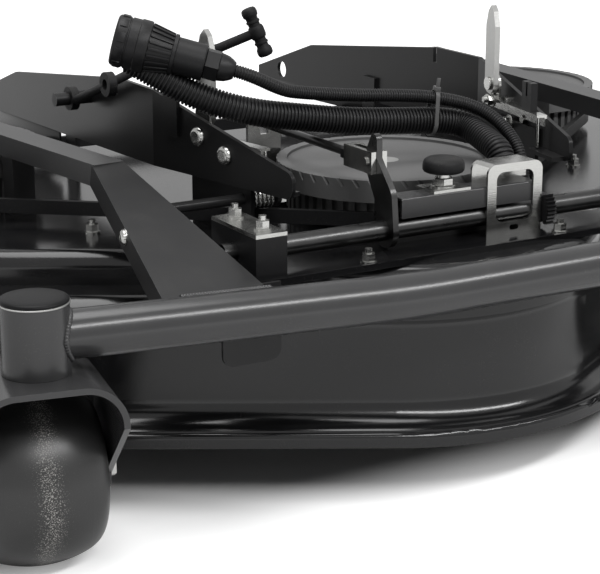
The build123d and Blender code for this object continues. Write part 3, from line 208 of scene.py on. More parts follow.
def wear_group():
    """Edge wear: a mask where the surface turns sharply, broken up by noise."""
    tree, start, end = new_group(
        "Edge wear",
        [("Amount", "NodeSocketFloat", 0.4), ("Scale", "NodeSocketFloat", 120.0)],
        [("Mask", "NodeSocketFloat")],
    )
    place = node(tree, "TexCoord").outputs["Object"]
    noise = node(tree, "TexNoise", {"Vector": place, "Scale": start.outputs["Scale"], "Detail": 4.0})
    round_edge = node(tree, "Bevel", {"Radius": 0.0012}, samples=4)
    plain = node(tree, "NewGeometry").outputs["Normal"]
    dot = node(tree, "VectorMath", operation="DOT_PRODUCT")
    tree.links.new(round_edge.outputs["Normal"], dot.inputs[0])
    tree.links.new(plain, dot.inputs[1])
    edge = ramp(tree, maths(tree, "SUBTRACT", 1.0, dot.outputs["Value"]), 0.02, 0.2)
    patch = ramp(tree, noise.outputs["Fac"], 0.45, 0.65)
    mask = maths(tree, "MULTIPLY", maths(tree, "MULTIPLY", edge, patch), start.outputs["Amount"])
    tree.links.new(mask, end.inputs["Mask"])
    return tree


def put_group(tree, name, **values):
    """Place a shader group in a material."""
    made = tree.nodes.new("ShaderNodeGroup")
    made.node_tree = bpy.data.node_groups[name]
    for key, value in values.items():
        made.inputs[key.replace("_", " ")].default_value = value
    return made.outputs


def new_material(name):
    """An empty material: its tree, its shader and the shader's inputs."""
    material = bpy.data.materials.new(name)
    material.use_nodes = True
    tree = material.node_tree
    shader = tree.nodes["Principled BSDF"]
    return material, tree, shader.inputs


def rgba(colour, gain=1.0):
    return (colour[0] * gain, colour[1] * gain, colour[2] * gain, 1.0)


def bump(tree, inputs, height, strength, distance):
    """Fine relief from a height."""
    made = node(tree, "Bump", {"Height": height, "Strength": strength, "Distance": distance})
    tree.links.new(made.outputs["Normal"], inputs["Normal"])


def paint(name, colour, rough, shine, peel, dust, wear):
    """Sprayed paint with orange peel, dust and worn edges."""
    material, tree, inputs = new_material(name)
    skin = put_group(tree, "Paint skin", Peel_Scale=peel, Dust=dust)
    edge = put_group(tree, "Edge wear", Amount=wear, Scale=140.0)
    shade = mix_colour(tree, skin["Cloud"], rgba(colour, 0.8), rgba(colour, 1.25))
    shade = mix_colour(tree, skin["Dust"], shade, (0.3, 0.29, 0.27, 1.0))
    shade = mix_colour(tree, edge["Mask"], shade, (0.2, 0.2, 0.2, 1.0))
    tree.links.new(shade, inputs["Base Color"])
    gloss = maths(tree, "ADD", rough, maths(tree, "MULTIPLY", skin["Dust"], 0.5))
    gloss = maths(tree, "ADD", gloss, maths(tree, "MULTIPLY", skin["Cloud"], 0.06))
    tree.links.new(gloss, inputs["Roughness"])
    inputs["Specular IOR Level"].default_value = shine
    bump(tree, inputs, skin["Height"], 0.12, 0.0003)
    return material


def zinc_plate(name, colour, rough, grain):
    """Bright zinc plating with soft spangle and rolling marks."""
    material, tree, inputs = new_material(name)
    place = node(tree, "TexCoord").outputs["Object"]
    spangle = node(tree, "TexVoronoi", {"Vector": place, "Scale": 260.0}, feature="F1")
    cloud = node(tree, "TexNoise", {"Vector": place, "Scale": 60.0, "Detail": 6.0})
    stretch = node(tree, "Mapping", {"Vector": place, "Scale": (60.0, 900.0, 900.0)})
    marks = node(tree, "TexNoise", {"Vector": stretch.outputs["Vector"], "Scale": 1.0, "Detail": 3.0})
    shade = mix_colour(tree, cloud.outputs["Fac"], rgba(colour, 0.62), rgba(colour, 1.1))
    flakes = maths(tree, "MULTIPLY", spangle.outputs["Distance"], 0.5)
    shade = mix_colour(tree, flakes, shade, rgba(colour, 0.8))
    tree.links.new(shade, inputs["Base Color"])
    gloss = maths(tree, "ADD", rough, maths(tree, "MULTIPLY", cloud.outputs["Fac"], 0.22))
    tree.links.new(gloss, inputs["Roughness"])
    inputs["Metallic"].default_value = 1.0
    bump(tree, inputs, marks.outputs["Fac"], grain, 0.0002)
    return material


def moulded(name, colour, rough, scale, relief, dust=0.05, shine=0.25):
    """Moulded plastic or rubber with a fine grain and a little dust."""
    material, tree, inputs = new_material(name)
    skin = put_group(tree, "Paint skin", Peel_Scale=scale, Dust=dust)
    shade = mix_colour(tree, skin["Cloud"], rgba(colour, 0.8), rgba(colour, 1.3))
    shade = mix_colour(tree, skin["Dust"], shade, (0.26, 0.25, 0.23, 1.0))
    tree.links.new(shade, inputs["Base Color"])
    gloss = maths(tree, "ADD", rough, maths(tree, "MULTIPLY", skin["Height"], 0.16))
    tree.links.new(gloss, inputs["Roughness"])
    inputs["Specular IOR Level"].default_value = shine
    bump(tree, inputs, skin["Height"], relief, 0.0004)
    return material


def tyre_rubber(name, centre, yaw):
    """Black tyre with pale grit thrown up along the middle of the tread."""
    material, tree, inputs = new_material(name)
    place = node(tree, "TexCoord").outputs["Object"]
    local = node(
        tree, "Mapping",
        {"Vector": place, "Location": centre, "Rotation": (0.0, 0.0, yaw)}, vector_type="TEXTURE",
    ).outputs["Vector"]
    across = node(tree, "SeparateXYZ", {"Vector": local}).outputs["X"]
    drift = node(tree, "TexNoise", {"Vector": local, "Scale": 18.0, "Detail": 4.0})
    wander = maths(tree, "MULTIPLY", maths(tree, "SUBTRACT", drift.outputs["Fac"], 0.5), 0.02)
    shifted = maths(tree, "ADD", across, wander)
    band = maths(tree, "SUBTRACT", 1.0, ramp(tree, maths(tree, "ABSOLUTE", shifted), 0.001, 0.024))
    grit = node(tree, "TexNoise", {"Vector": local, "Scale": 900.0, "Detail": 4.0})
    thick = maths(tree, "ADD", grit.outputs["Fac"], maths(tree, "MULTIPLY", band, 0.1))
    specks = ramp(tree, thick, 0.61, 0.75)
    mask = maths(tree, "MULTIPLY", specks, maths(tree, "ADD", band, 0.06))
    shade = mix_colour(tree, mask, (0.022, 0.022, 0.022, 1.0), (0.38, 0.37, 0.35, 1.0))
    tree.links.new(shade, inputs["Base Color"])
    gloss = maths(tree, "ADD", 0.34, maths(tree, "MULTIPLY", mask, 0.5))
    tree.links.new(gloss, inputs["Roughness"])
    bump(tree, inputs, grit.outputs["Fac"], 0.12, 0.0006)
    return material


NODE_FINISHES = {
    "Deck gloss paint": ("deck_shell", "cross_plate"),
    "Frame satin paint": (
        "front_tube", "left_pivot_housing", "right_pivot_housing", "left_fork", "right_fork",
        "guard_channel",
    ),
    # Arms and side plates: the frame's own black paint, darkened as painted shade
    "Arms: frame paint with painted shade": ("left_arm", "right_arm", "arm_posts"),
    "Side plates: frame paint with painted shade": (
        "deck_brackets", "left_side_plate", "right_side_plate", "plug_holder", "tension_rod",
    ),
    "Zinc plate": (
        "bearing_plates", "flange_nuts", "bumper_plate", "window_bracket", "side_plate_bolts",
        "latch_brackets", "latch_wires", "clevis", "rod_guide",
        "tension_spring", "left_axle", "right_axle",
    ),
    "Bare steel": (
        "centre_spindle", "left_spindle", "right_spindle", "centre_blade", "left_blade", "right_blade",
        "left_latch_lever", "right_latch_lever",
    ),
    "Dark shaft steel": ("height_shaft", "push_rod"),
    "Cast housing": ("spindle_housings",),
    "Grey pulley plastic": ("centre_pulley", "left_pulley", "right_pulley"),
    "Black moulded plastic": (
        "bearing_blocks", "pivot_caps", "latch_posts", "hose_entry", "plug", "plug_nut", "left_hub",
        "right_hub",
        "index_sector", "strap_peg",
    ),
    "Black rubber": ("rubber_bumper", "rubber_strap", "drive_belt"),
}


# Arms and side plates wear the same black paint as the frame; these factors darken copies of the frame colour
# as painted shade
ARM_PAINTED_SHADE = 0.55
SIDE_PLATE_PAINTED_SHADE = 0.35
BARE_STEEL = (0.46, 0.46, 0.45)
SHAFT_STEEL = (0.075, 0.075, 0.075)
CAST_GREY = (0.07, 0.07, 0.07)
TIE_GREY = (0.09, 0.09, 0.09)


def make_finishes():
    """All the deck's materials."""
    c = colours()
    skin_group()
    wear_group()
    # Darker copies of the frame colour: painted shade for the arms and for the side plates
    arms = [level * ARM_PAINTED_SHADE for level in c.frame]
    side_plates = [level * SIDE_PLATE_PAINTED_SHADE for level in c.frame]
    paint("Deck gloss paint", c.shell, rough=0.13, shine=0.42, peel=700.0, dust=0.05, wear=0.12)
    paint("Frame satin paint", c.frame, rough=0.2, shine=0.45, peel=900.0, dust=0.05, wear=0.25)
    # Side plates, brackets, plug holder and rod: the frame paint darkened as painted shade
    paint("Side plates: frame paint with painted shade", side_plates, rough=0.26, shine=0.14, peel=900.0, dust=0.05, wear=0.25)
    paint("Arms: frame paint with painted shade", arms, rough=0.3, shine=0.22, peel=900.0, dust=0.06, wear=0.25)
    zinc_plate("Zinc plate", c.zinc, rough=0.12, grain=0.25)
    zinc_plate("Bare steel", BARE_STEEL, rough=0.28, grain=0.35)
    zinc_plate("Dark shaft steel", SHAFT_STEEL, rough=0.2, grain=0.2)
    moulded("Cast housing", CAST_GREY, rough=0.5, scale=400.0, relief=0.5)
    moulded("Grey pulley plastic", c.pulley, rough=0.42, scale=600.0, relief=0.15)
    moulded("Black moulded plastic", c.plastic, rough=0.36, scale=900.0, relief=0.15)
    moulded("Black rubber", c.plastic, rough=0.5, scale=500.0, relief=0.3, dust=0.1, shine=0.2)
    moulded("Grey tie plastic", TIE_GREY, rough=0.4, scale=600.0, relief=0.1)
    moulded("Matt cap plastic", c.plastic, rough=0.35, scale=700.0, relief=0.15, dust=0.03, shine=0.12)


def wheel_place(side):
    """Middle of a caster wheel and the turn of its axle."""
    low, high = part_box(side + "_tyre")
    middle = (Vector(low) + Vector(high)) / 2
    joint = next(j for j in FRAME["joints"] if j["name"] == side + "_roll")
    axis = joint["axis"]
    return tuple(middle), math.atan2(axis[1], axis[0])


class MOWER_OT_finishes(bpy.types.Operator):
    """Give every CAD node its finish"""

    bl_idname = "mower.finishes"
    bl_label = "Paint and plating"

    def execute(self, context):
        make_finishes()
        for finish, names in NODE_FINISHES.items():
            for name in names:
                dress(NODES[name], bpy.data.materials[finish])
        for side in ("left", "right"):
            middle, yaw = wheel_place(side)
            dress(NODES[side + "_tyre"], tyre_rubber(side.title() + " tyre rubber", middle, yaw))
        return {"FINISHED"}


def dress(obj, material):
    """Put one material on a piece."""
    obj.data.materials.clear()
    obj.data.materials.append(material)


# Modelling helpers

def deselect():
    """Nothing selected, object mode."""
    if bpy.context.object and bpy.context.object.mode != "OBJECT":
        bpy.ops.object.mode_set(mode="OBJECT")
    bpy.ops.object.select_all(action="DESELECT")


def mm(value):
    return value / 1000.0


def edit_all():
    """Edit mode with every point of the active piece selected."""
    bpy.ops.object.mode_set(mode="EDIT")
    bpy.ops.mesh.select_mode(type="VERT")
    bpy.ops.mesh.select_all(action="SELECT")


def close_up():
    """Fill open rims, turn the faces outward and leave edit mode."""
    bpy.ops.mesh.select_all(action="SELECT")
    bpy.ops.mesh.fill_holes(sides=0)
    bpy.ops.mesh.select_all(action="SELECT")
    bpy.ops.mesh.normals_make_consistent(inside=False)
    bpy.ops.object.mode_set(mode="OBJECT")


def ring(sides, radius):
    """A ring of edges round the X axis, active and in edit mode."""
    deselect()
    bpy.ops.mesh.primitive_circle_add(vertices=sides, radius=radius, rotation=(0, math.pi / 2, 0))
    made = bpy.context.object
    bpy.ops.object.transform_apply(location=True, rotation=True, scale=True)
    edit_all()
    return made


def turned(profile, sides):
    """Solid turned about X from (along, radius) pairs in millimetres, a ring extruded step by step."""
    along, radius = profile[0]
    made = ring(sides, mm(radius))
    bpy.ops.transform.translate(value=(mm(along), 0, 0))
    for place, size in profile[1:]:
        bpy.ops.mesh.extrude_edges_move(TRANSFORM_OT_translate={"value": (mm(place - along), 0, 0)})
        grow = size / radius
        bpy.ops.transform.resize(value=(1, grow, grow), center_override=(mm(place), 0, 0))
        along, radius = place, size
    close_up()
    return made


def bar(size, place, edge, tilt=0.0):
    """Bar with rounded edges, its size and place in millimetres, tilted about Y."""
    deselect()
    bpy.ops.mesh.primitive_cube_add(size=1.0)
    made = bpy.context.object
    made.scale = [mm(v) for v in size]
    bpy.ops.object.transform_apply(location=True, rotation=True, scale=True)
    edit_all()
    bpy.ops.mesh.bevel(offset=mm(edge), segments=2, affect="EDGES")
    bpy.ops.object.mode_set(mode="OBJECT")
    made.location = [mm(v) for v in place]
    made.rotation_euler = (0.0, tilt, 0.0)
    bpy.ops.object.transform_apply(location=True, rotation=True, scale=True)
    return made


def round_x(made, count):
    """Repeat a piece evenly round the X axis."""
    bpy.context.view_layer.objects.active = made
    edit_all()
    turn = 2 * math.pi * (count - 1) / count
    bpy.ops.mesh.spin(steps=count - 1, dupli=True, angle=turn, center=(0, 0, 0), axis=(1, 0, 0))
    bpy.ops.object.mode_set(mode="OBJECT")
    return made


def pick(made, test):
    """Edit mode with only the points selected that pass a test of their place."""
    edit_all()
    bpy.ops.mesh.select_all(action="DESELECT")
    bpy.ops.object.mode_set(mode="OBJECT")
    for point in made.data.vertices:
        point.select = test(point.co)
    bpy.ops.object.mode_set(mode="EDIT")


def stand(made, place, axis, up=(0.0, 0.0, 1.0)):
    """Put a piece made on X at its place, in millimetres, with X along an axis and Z towards up."""
    along = Vector(axis).normalized()
    rise = Vector(up) - along * along.dot(Vector(up))
    if rise.length < 0.01:
        rise = along.orthogonal()
    rise.normalize()
    turn = Matrix((along, rise.cross(along), rise)).transposed().to_4x4()
    made.matrix_world = Matrix.Translation(Vector(place) / 1000) @ turn
    return made


def join(pieces):
    """Make one piece of several."""
    deselect()
    for piece in pieces:
        piece.select_set(True)
    bpy.context.view_layer.objects.active = pieces[0]
    bpy.ops.object.join()
    return pieces[0]


def twin(made):
    """A copy with its own mesh."""
    other = made.copy()
    other.data = made.data.copy()
    bpy.context.collection.objects.link(other)
    return other


def settle(obj, name, material, body, smooth=35.0):
    """Name a finished piece, put its place in its mesh, dress it and let it ride."""
    deselect()
    obj.name = name
    obj.data.name = name
    obj.select_set(True)
    bpy.context.view_layer.objects.active = obj
    bpy.ops.object.transform_apply(location=True, rotation=True, scale=True)
    bpy.ops.object.shade_smooth_by_angle(angle=math.radians(smooth))
    dress(obj, bpy.data.materials[material])
    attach(obj, body)
    return obj


def route_curve(name, points):
    """Smooth route through a hose's chosen points, given in millimetres."""
    data = bpy.data.curves.new(name, "CURVE")
    data.dimensions = "3D"
    data.resolution_u = 16
    spline = data.splines.new("NURBS")
    spline.points.add(len(points) - 1)
    for spot, place in zip(spline.points, points):
        spot.co = (place[0] / 1000, place[1] / 1000, place[2] / 1000, 1.0)
    spline.order_u = 3
    spline.use_endpoint_u = True
    curve = bpy.data.objects.new(name, data)
    bpy.context.collection.objects.link(curve)
    return curve


HOSE_RIB = (
    (0.12, 1.0), (0.13, "crest"), (0.1, 1.02), (0.32, 1.0), (0.1, 1 / 1.02), (0.13, "root"), (0.1, 1.0),
)


def corrugated(name, route, diameter, pitch, sides, depth=0.87):
    """Corrugated hose or bead: one rib is modelled, repeated along X and bent along the route."""
    crest, root = diameter / 2, diameter / 2 * depth
    rib = ring(sides, root)
    along = 0.0
    for share, grow in HOSE_RIB:
        factor = {"crest": crest / root / 1.02, "root": root * 1.02 / crest}.get(grow, grow)
        along += share * pitch
        bpy.ops.mesh.extrude_edges_move(TRANSFORM_OT_translate={"value": (share * pitch, 0, 0)})
        bpy.ops.transform.resize(value=(1, factor, factor), center_override=(along, 0, 0))
    bpy.ops.object.mode_set(mode="OBJECT")
    curve = route_curve(name + "_route", route)
    repeat = rib.modifiers.new("Ribs", "ARRAY")
    repeat.fit_type = "FIT_CURVE"
    repeat.curve = curve
    repeat.use_merge_vertices = True
    repeat.merge_threshold = 0.0002
    bend = rib.modifiers.new("Bend", "CURVE")
    bend.object = curve
    for modifier in ("Ribs", "Bend"):
        bpy.ops.object.modifier_apply(modifier=modifier)
    edit_all()
    close_up()
    bpy.data.objects.remove(curve)
    return rib


class MOWER_OT_hoses(bpy.types.Operator):
    """Corrugated hoses from the plug to the shell behind the guard"""

    bl_idname = "mower.hoses"
    bl_label = "Corrugated hoses"

    def execute(self, context):
        s = sizes()
        thick = corrugated("corrugated_thick", THICK_ROUTE, s.thick_hose_d, s.thick_pitch, 28)
        settle(thick, "corrugated_thick", "Black moulded plastic", "deck", 50.0)
        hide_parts("thick_hose")
        thin = corrugated("corrugated_thin", THIN_ROUTE, s.thin_hose_d, s.thin_pitch, 20)
        settle(thin, "corrugated_thin", "Black moulded plastic", "deck", 50.0)
        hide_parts("thin_hose")
        return {"FINISHED"}


# Plug, tie and fittings. Places are in millimetres, in the frame of the CAD

PLUG_REAR = (-306.15, -121.76, 464.0)
PLUG_AXIS = (0.8331, -0.4888, -0.2588)
PLUG_PROFILE = (
    (2.5, 19), (0, 20), (0, 25.6), (1.2, 27.4), (3, 28.3), (13.6, 28.5), (14, 27.4), (15.4, 27.4),
    (15.8, 28.5), (25.6, 28.5), (26.2, 29.5), (36.5, 29.5), (38, 28.6), (38.4, 26.6), (64.5, 21.4),
    (64.9, 23), (68.6, 23), (69.2, 20.5), (100.6, 20.3), (102, 19.2),
)
GLAND_HEX = ((102, 16.8), (103, 18), (117.5, 18), (119, 16.4))
GLAND_DOME = ((118.5, 15.6), (121, 15.4), (127, 14.2), (132, 11.8), (135.4, 9.6), (136, 8.4))


class MOWER_OT_plug(bpy.types.Operator):
    """Plug with a ribbed grip, and its gland nut"""

    bl_idname = "mower.plug"
    bl_label = "Plug"

    def execute(self, context):
        body = turned(PLUG_PROFILE, 64)
        ribs = round_x(bar((26, 3.2, 3.4), (51.4, 0, 24.1), 0.6, math.radians(11.3)), 22)
        pads = round_x(bar((8.4, 11.5, 2.2), (8.2, 0, 27.9), 0.5), 10)
        plug = stand(join([body, ribs, pads]), PLUG_REAR, PLUG_AXIS)
        settle(plug, "ribbed_plug", "Black moulded plastic", "deck")
        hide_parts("plug")
        nut = stand(join([turned(GLAND_HEX, 6), turned(GLAND_DOME, 40)]), PLUG_REAR, PLUG_AXIS)
        settle(nut, "gland_nut", "Black moulded plastic", "deck")
        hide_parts("plug_nut")
        return {"FINISHED"}


TIE_PLACE = (45, -226.5, 369.9)
TIE_ALONG = (1.0, -0.2, -0.1)
TIE_UP = (0.0, -0.137, 0.99)
TIE_HALF = 13.9
TIE_LOW_R = 16.4
TIE_HIGH_R = 8.5


class MOWER_OT_tie(bpy.types.Operator):
    """Cable tie round both hoses"""

    bl_idname = "mower.tie"
    bl_label = "Hose tie"

    def execute(self, context):
        width = mm(4.6)
        loop = ring(48, mm(TIE_LOW_R))
        pick(loop, lambda co: co.z > 0.0001)
        small = TIE_HIGH_R / TIE_LOW_R
        bpy.ops.transform.resize(value=(1, small, small), center_override=(0, 0, 0))
        bpy.ops.transform.translate(value=(0, 0, mm(2 * TIE_HALF)))
        bpy.ops.mesh.select_all(action="SELECT")
        bpy.ops.transform.translate(value=(-width / 2, 0, mm(-TIE_HALF)))
        bpy.ops.mesh.extrude_edges_move(TRANSFORM_OT_translate={"value": (width, 0, 0)})
        bpy.ops.mesh.select_all(action="SELECT")
        bpy.ops.mesh.normals_make_consistent(inside=False)
        bpy.ops.object.mode_set(mode="OBJECT")
        wall = loop.modifiers.new("Wall", "SOLIDIFY")
        wall.thickness = mm(1.3)
        wall.offset = 1.0
        bpy.ops.object.modifier_apply(modifier="Wall")
        top = TIE_HALF + TIE_HIGH_R
        head = bar((7, 8, 5.5), (0, -1.5, top + 2.6), 0.8)
        tail = bar((4.4, 1.4, 13), (0, -3, top + 9), 0.4)
        tie = stand(join([loop, head, tail]), TIE_PLACE, TIE_ALONG, TIE_UP)
        settle(tie, "hose_tie", "Grey tie plastic", "deck")
        return {"FINISHED"}


THREAD = [(8.6 + 0.45 * k, 4.0 - 0.45 * (k % 2)) for k in range(12)]
LEDGE_NUTS = (
    ((204.2, -162.4, 328.0), (-0.98, 0.18, 0.0)),
    ((202.1, -128.8, 351.5), (-0.98, 0.18, 0.0)),
)
ARM_SCREW = ((388.8, -314.5, 294.9), (0.99, 0.14, 0.05))
SCREW_PROFILE = (
    (0, 9), (1.3, 9), (1.4, 7.8), (3.2, 7.4), (4.7, 6), (5.4, 4), (5.4, 3), (3.4, 2.8), (3.2, 0.4),
)


def mirrored(place):
    return (-place[0], place[1], place[2])


class MOWER_OT_bolts(bpy.types.Operator):
    """Nuts on the latch ledges and screws on the arms"""

    bl_idname = "mower.bolts"
    bl_label = "Nuts and screws"

    def execute(self, context):
        washer = turned(((0, 9.6), (1.5, 9.6), (1.9, 9)), 28)
        hexagon = turned(((1.8, 7), (2, 7.5), (8, 7.5), (8.8, 6.6)), 6)
        nut = join([washer, hexagon, turned(THREAD, 20)])
        screw = turned(SCREW_PROFILE, 32)
        nuts = []
        screws = []
        for turn in (tuple, mirrored):
            for place, axis in LEDGE_NUTS:
                nuts.append(stand(twin(nut), turn(place), turn(axis)))
            screws.append(stand(twin(screw), turn(ARM_SCREW[0]), turn(ARM_SCREW[1])))
        for spare in (nut, screw):
            bpy.data.objects.remove(spare)
        settle(join(nuts), "ledge_nuts", "Zinc plate", "deck", 30.0)
        settle(join(screws), "arm_screws", "Zinc plate", "deck", 30.0)
        return {"FINISHED"}


BUMPER_FOOT = (-27, -353.5, 0)
BUMPER_CAP = (
    (329, 13), (329, 19.5), (330, 21.6), (332, 22.8), (336, 23), (340, 22.4), (342.8, 20.6),
    (344.4, 17.5), (345, 13),
)


class MOWER_OT_bumper(bpy.types.Operator):
    """Rubber bumper on its zinc stud"""

    bl_idname = "mower.bumper"
    bl_label = "Bumper"

    def execute(self, context):
        cap = stand(turned(BUMPER_CAP, 56), BUMPER_FOOT, (0, 0, 1), (0, 1, 0))
        settle(cap, "bumper_cap", "Black rubber", "deck")
        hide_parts("rubber_bumper")
        washer = turned(((313, 13.4), (314.6, 13.4), (315.2, 12.6)), 32)
        hexagon = turned(((315, 10.4), (315.4, 11.2), (322.4, 11.2), (323.2, 10)), 6)
        shank = turned(((322.8, 8), (329.4, 8)), 24)
        stud = stand(join([washer, hexagon, shank]), BUMPER_FOOT, (0, 0, 1), (0, 1, 0))
        settle(stud, "bumper_stud", "Zinc plate", "deck", 30.0)
        return {"FINISHED"}


GRIP_FROM = (-113.0, -74.0, 477.0)
GRIP_TO = (-95.0, -84.6, 425.0)
GRIP_PROFILE = (
    (-2, 4), (-1.4, 7), (0.5, 8.8), (4, 9.4), (8, 8.8), (10, 7.2), (13, 7), (14, 8.2), (16, 8.2),
    (17, 7), (20, 7), (21, 8.4), (24, 9.4), (32, 9.4), (35, 8.4), (36, 7), (39, 7), (40, 8.2), (42, 8.2),
    (43, 7), (46, 7.2), (48, 8.8), (52, 9.4), (55.5, 8.8), (57.4, 7), (58, 4),
)


class MOWER_OT_grip(bpy.types.Operator):
    """Ribbed grip on the strap's T end"""

    bl_idname = "mower.grip"
    bl_label = "Strap grip"

    def execute(self, context):
        axis = Vector(GRIP_TO) - Vector(GRIP_FROM)
        grip = stand(turned(GRIP_PROFILE, 32), GRIP_FROM, axis)
        settle(grip, "strap_grip", "Black rubber", "deck", 50.0)
        return {"FINISHED"}


PIVOT = (534.0, -424.5, 0.0)
PIVOT_DOME = (
    (278, 31), (278, 32.6), (278.8, 33.2), (280, 33), (281.3, 31.8), (282.2, 29), (282.7, 22), (283, 10),
)
PIVOT_WASHER = ((276.2, 33), (276.8, 33.8), (277.8, 33.9), (278.3, 33))


class MOWER_OT_pivots(bpy.types.Operator):
    """Domed caps and washers on the caster pivots"""

    bl_idname = "mower.pivots"
    bl_label = "Pivot caps"

    def execute(self, context):
        for profile, name, finish, slot in (
            (PIVOT_DOME, "pivot_domes", "Matt cap plastic", "black_plastic"),
            (PIVOT_WASHER, "pivot_washers", "Bare steel", "steel"),
        ):
            left = turned(profile, 64)
            right = twin(left)
            stand(left, mirrored(PIVOT), (0, 0, 1), (0, 1, 0))
            stand(right, PIVOT, (0, 0, 1), (0, 1, 0))
            piece = settle(join([left, right]), name, finish, "deck")
            if name == "pivot_domes":
                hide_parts("pivot_caps")
        return {"FINISHED"}


ARM_BEAD = ((388, -435.2, 262.0), (350, -437.9, 261.1), (320, -440.0, 260.3), (294, -441.8, 259.6))
TUBE_END = (0.988, 0.152)
TUBE_R = 24.0
TUBE_Z = 242.0
HOUSING_R = 33.0
BEAD_STEPS = 16


def saddle_route():
    """Where the tube meets the right caster housing, once round."""
    route = []
    for step in range(BEAD_STEPS + 1):
        angle = 2 * math.pi * step / BEAD_STEPS
        side, rise = TUBE_R * math.cos(angle), TUBE_R * math.sin(angle)
        back = math.sqrt(HOUSING_R ** 2 - side ** 2)
        x = PIVOT[0] - TUBE_END[0] * back + TUBE_END[1] * side
        y = PIVOT[1] - TUBE_END[1] * back - TUBE_END[0] * side
        route.append((x, y, TUBE_Z + rise))
    return route


class MOWER_OT_welds(bpy.types.Operator):
    """Weld beads at the arms' feet and round the tube's ends"""

    bl_idname = "mower.welds"
    bl_label = "Weld beads"

    def execute(self, context):
        beads = []
        for route in (ARM_BEAD, saddle_route()):
            for turn in (tuple, mirrored):
                path = [turn(place) for place in route]
                beads.append(corrugated("bead", path, mm(6.6), mm(3.1), 12, 0.86))
        settle(join(beads), "weld_beads", "Frame satin paint", "deck", 60.0)
        return {"FINISHED"}


RIM_CORNERS = (
    ((0.0, -197.5), -119.7, -60.3), ((420.0, 42.5), -60.3, 0.0), ((420.0, 150.0), 0.0, 90.0),
    ((-420.0, 150.0), 90.0, 180.0), ((-420.0, 42.5), 180.0, 240.3),
)
RIM_BEAD_R = 281.5
RIM_BEAD_Z = 79.6
RIM_BEAD_HALF = 3.4
RIM_STEP_DEG = 3.0


class MOWER_OT_rim(bpy.types.Operator):
    """Ridge pressed along the rim of the deck"""

    bl_idname = "mower.rim"
    bl_label = "Rim ridge"

    def execute(self, context):
        deselect()
        bpy.ops.curve.primitive_bezier_circle_add(radius=mm(RIM_BEAD_R))
        ridge = bpy.context.object
        ridge.data.splines.clear()
        line = ridge.data.splines.new("POLY")
        places = []
        for (x, y), start, end in RIM_CORNERS:
            steps = round((end - start) / RIM_STEP_DEG)
            for step in range(steps + 1):
                angle = math.radians(start + (end - start) * step / steps)
                places.append((x + RIM_BEAD_R * math.cos(angle), y + RIM_BEAD_R * math.sin(angle)))
        line.points.add(len(places) - 1)
        for spot, (x, y) in zip(line.points, places):
            spot.co = (mm(x), mm(y), mm(RIM_BEAD_Z), 1.0)
        line.use_cyclic_u = True
        ridge.data.bevel_depth = mm(RIM_BEAD_HALF)
        ridge.data.bevel_resolution = 3
        bpy.ops.object.convert(target="MESH")
        ridge = bpy.context.object
        edit_all()
        bpy.ops.mesh.remove_doubles(threshold=0.0001)
        close_up()
        settle(ridge, "rim_ridge", "Deck gloss paint", "deck")
        return {"FINISHED"}


SKIRT_FACE_X = 231.0
SKIRT = ((215.0, 294.6), (500.0, 285.9))
SKIRT_H = 20.0


class MOWER_OT_skirts(bpy.types.Operator):
    """Stiffening strips under the rear of the side plates"""

    bl_idname = "mower.skirts"
    bl_label = "Side plate strips"

    def execute(self, context):
        (y0, z0), (y1, z1) = SKIRT
        run = math.hypot(y1 - y0, z1 - z0)
        slope = (0.0, y1 - y0, z1 - z0)
        strips = []
        for side in (-1, 1):
            strip = bar((run, 3.0, SKIRT_H), (run / 2, 0, 1 - SKIRT_H / 2), 0.8)
            strips.append(stand(strip, (side * SKIRT_FACE_X, y0, z0), slope))
        settle(join(strips), "side_plate_strips", "Side plates: frame paint with painted shade", "deck")
        return {"FINISHED"}


# Stage. Lamps have a place, a target, a size and a power

CAMERA_PLACE = (-1.1535, -1.967, 0.7689)
CAMERA_TILT = 73.8
CAMERA_TURN = -30.4
LAMPS = (
    ("key_box", (-0.4, 0.0, 2.5), (-0.1, 0.0, 0.1), (1.7, 1.5), 42.0),
    ("front_strip", (0.5, -2.15, 2.15), (0.1, -0.45, 0.25), (3.0, 0.3), 60.0),
    ("left_box", (-2.6, -0.9, 1.5), (0.0, -0.3, 0.2), (1.2, 1.2), 5.0),
)
FLOOR_SIZE = 30.0
FLOOR_ALBEDO = 0.9
# Painted light on the floor: ahead of the deck front (FRONT_FADE, along -Y) the floor glows for camera rays
# only, washing out the deck's shadow there
FRONT_FADE = (0.33, 0.5)
FRONT_PAINTED_LIGHT = 0.7
FAR_FADE = (1.0, 2.4)
WORLD_SHINE = 0.8
WORLD_FILL = 0.16


class MOWER_OT_stage(bpy.types.Operator):
    """Camera, floor, lamps and world"""

    bl_idname = "mower.stage"
    bl_label = "Stage"

    def execute(self, context):
        scene = context.scene
        scene.view_settings.view_transform = "Standard"
        camera = bpy.data.objects.new("view_camera", bpy.data.cameras.new("view_camera"))
        scene.collection.objects.link(camera)
        camera.data.sensor_width = SENSOR_MM
        camera.data.lens = FOCAL_PX / IMAGE_W * SENSOR_MM
        camera.location = CAMERA_PLACE
        camera.rotation_euler = (math.radians(CAMERA_TILT), 0.0, math.radians(CAMERA_TURN))
        scene.camera = camera
        floor_piece()
        for lamp in LAMPS:
            soft_box(*lamp)
        pale_world(scene)
        return {"FINISHED"}


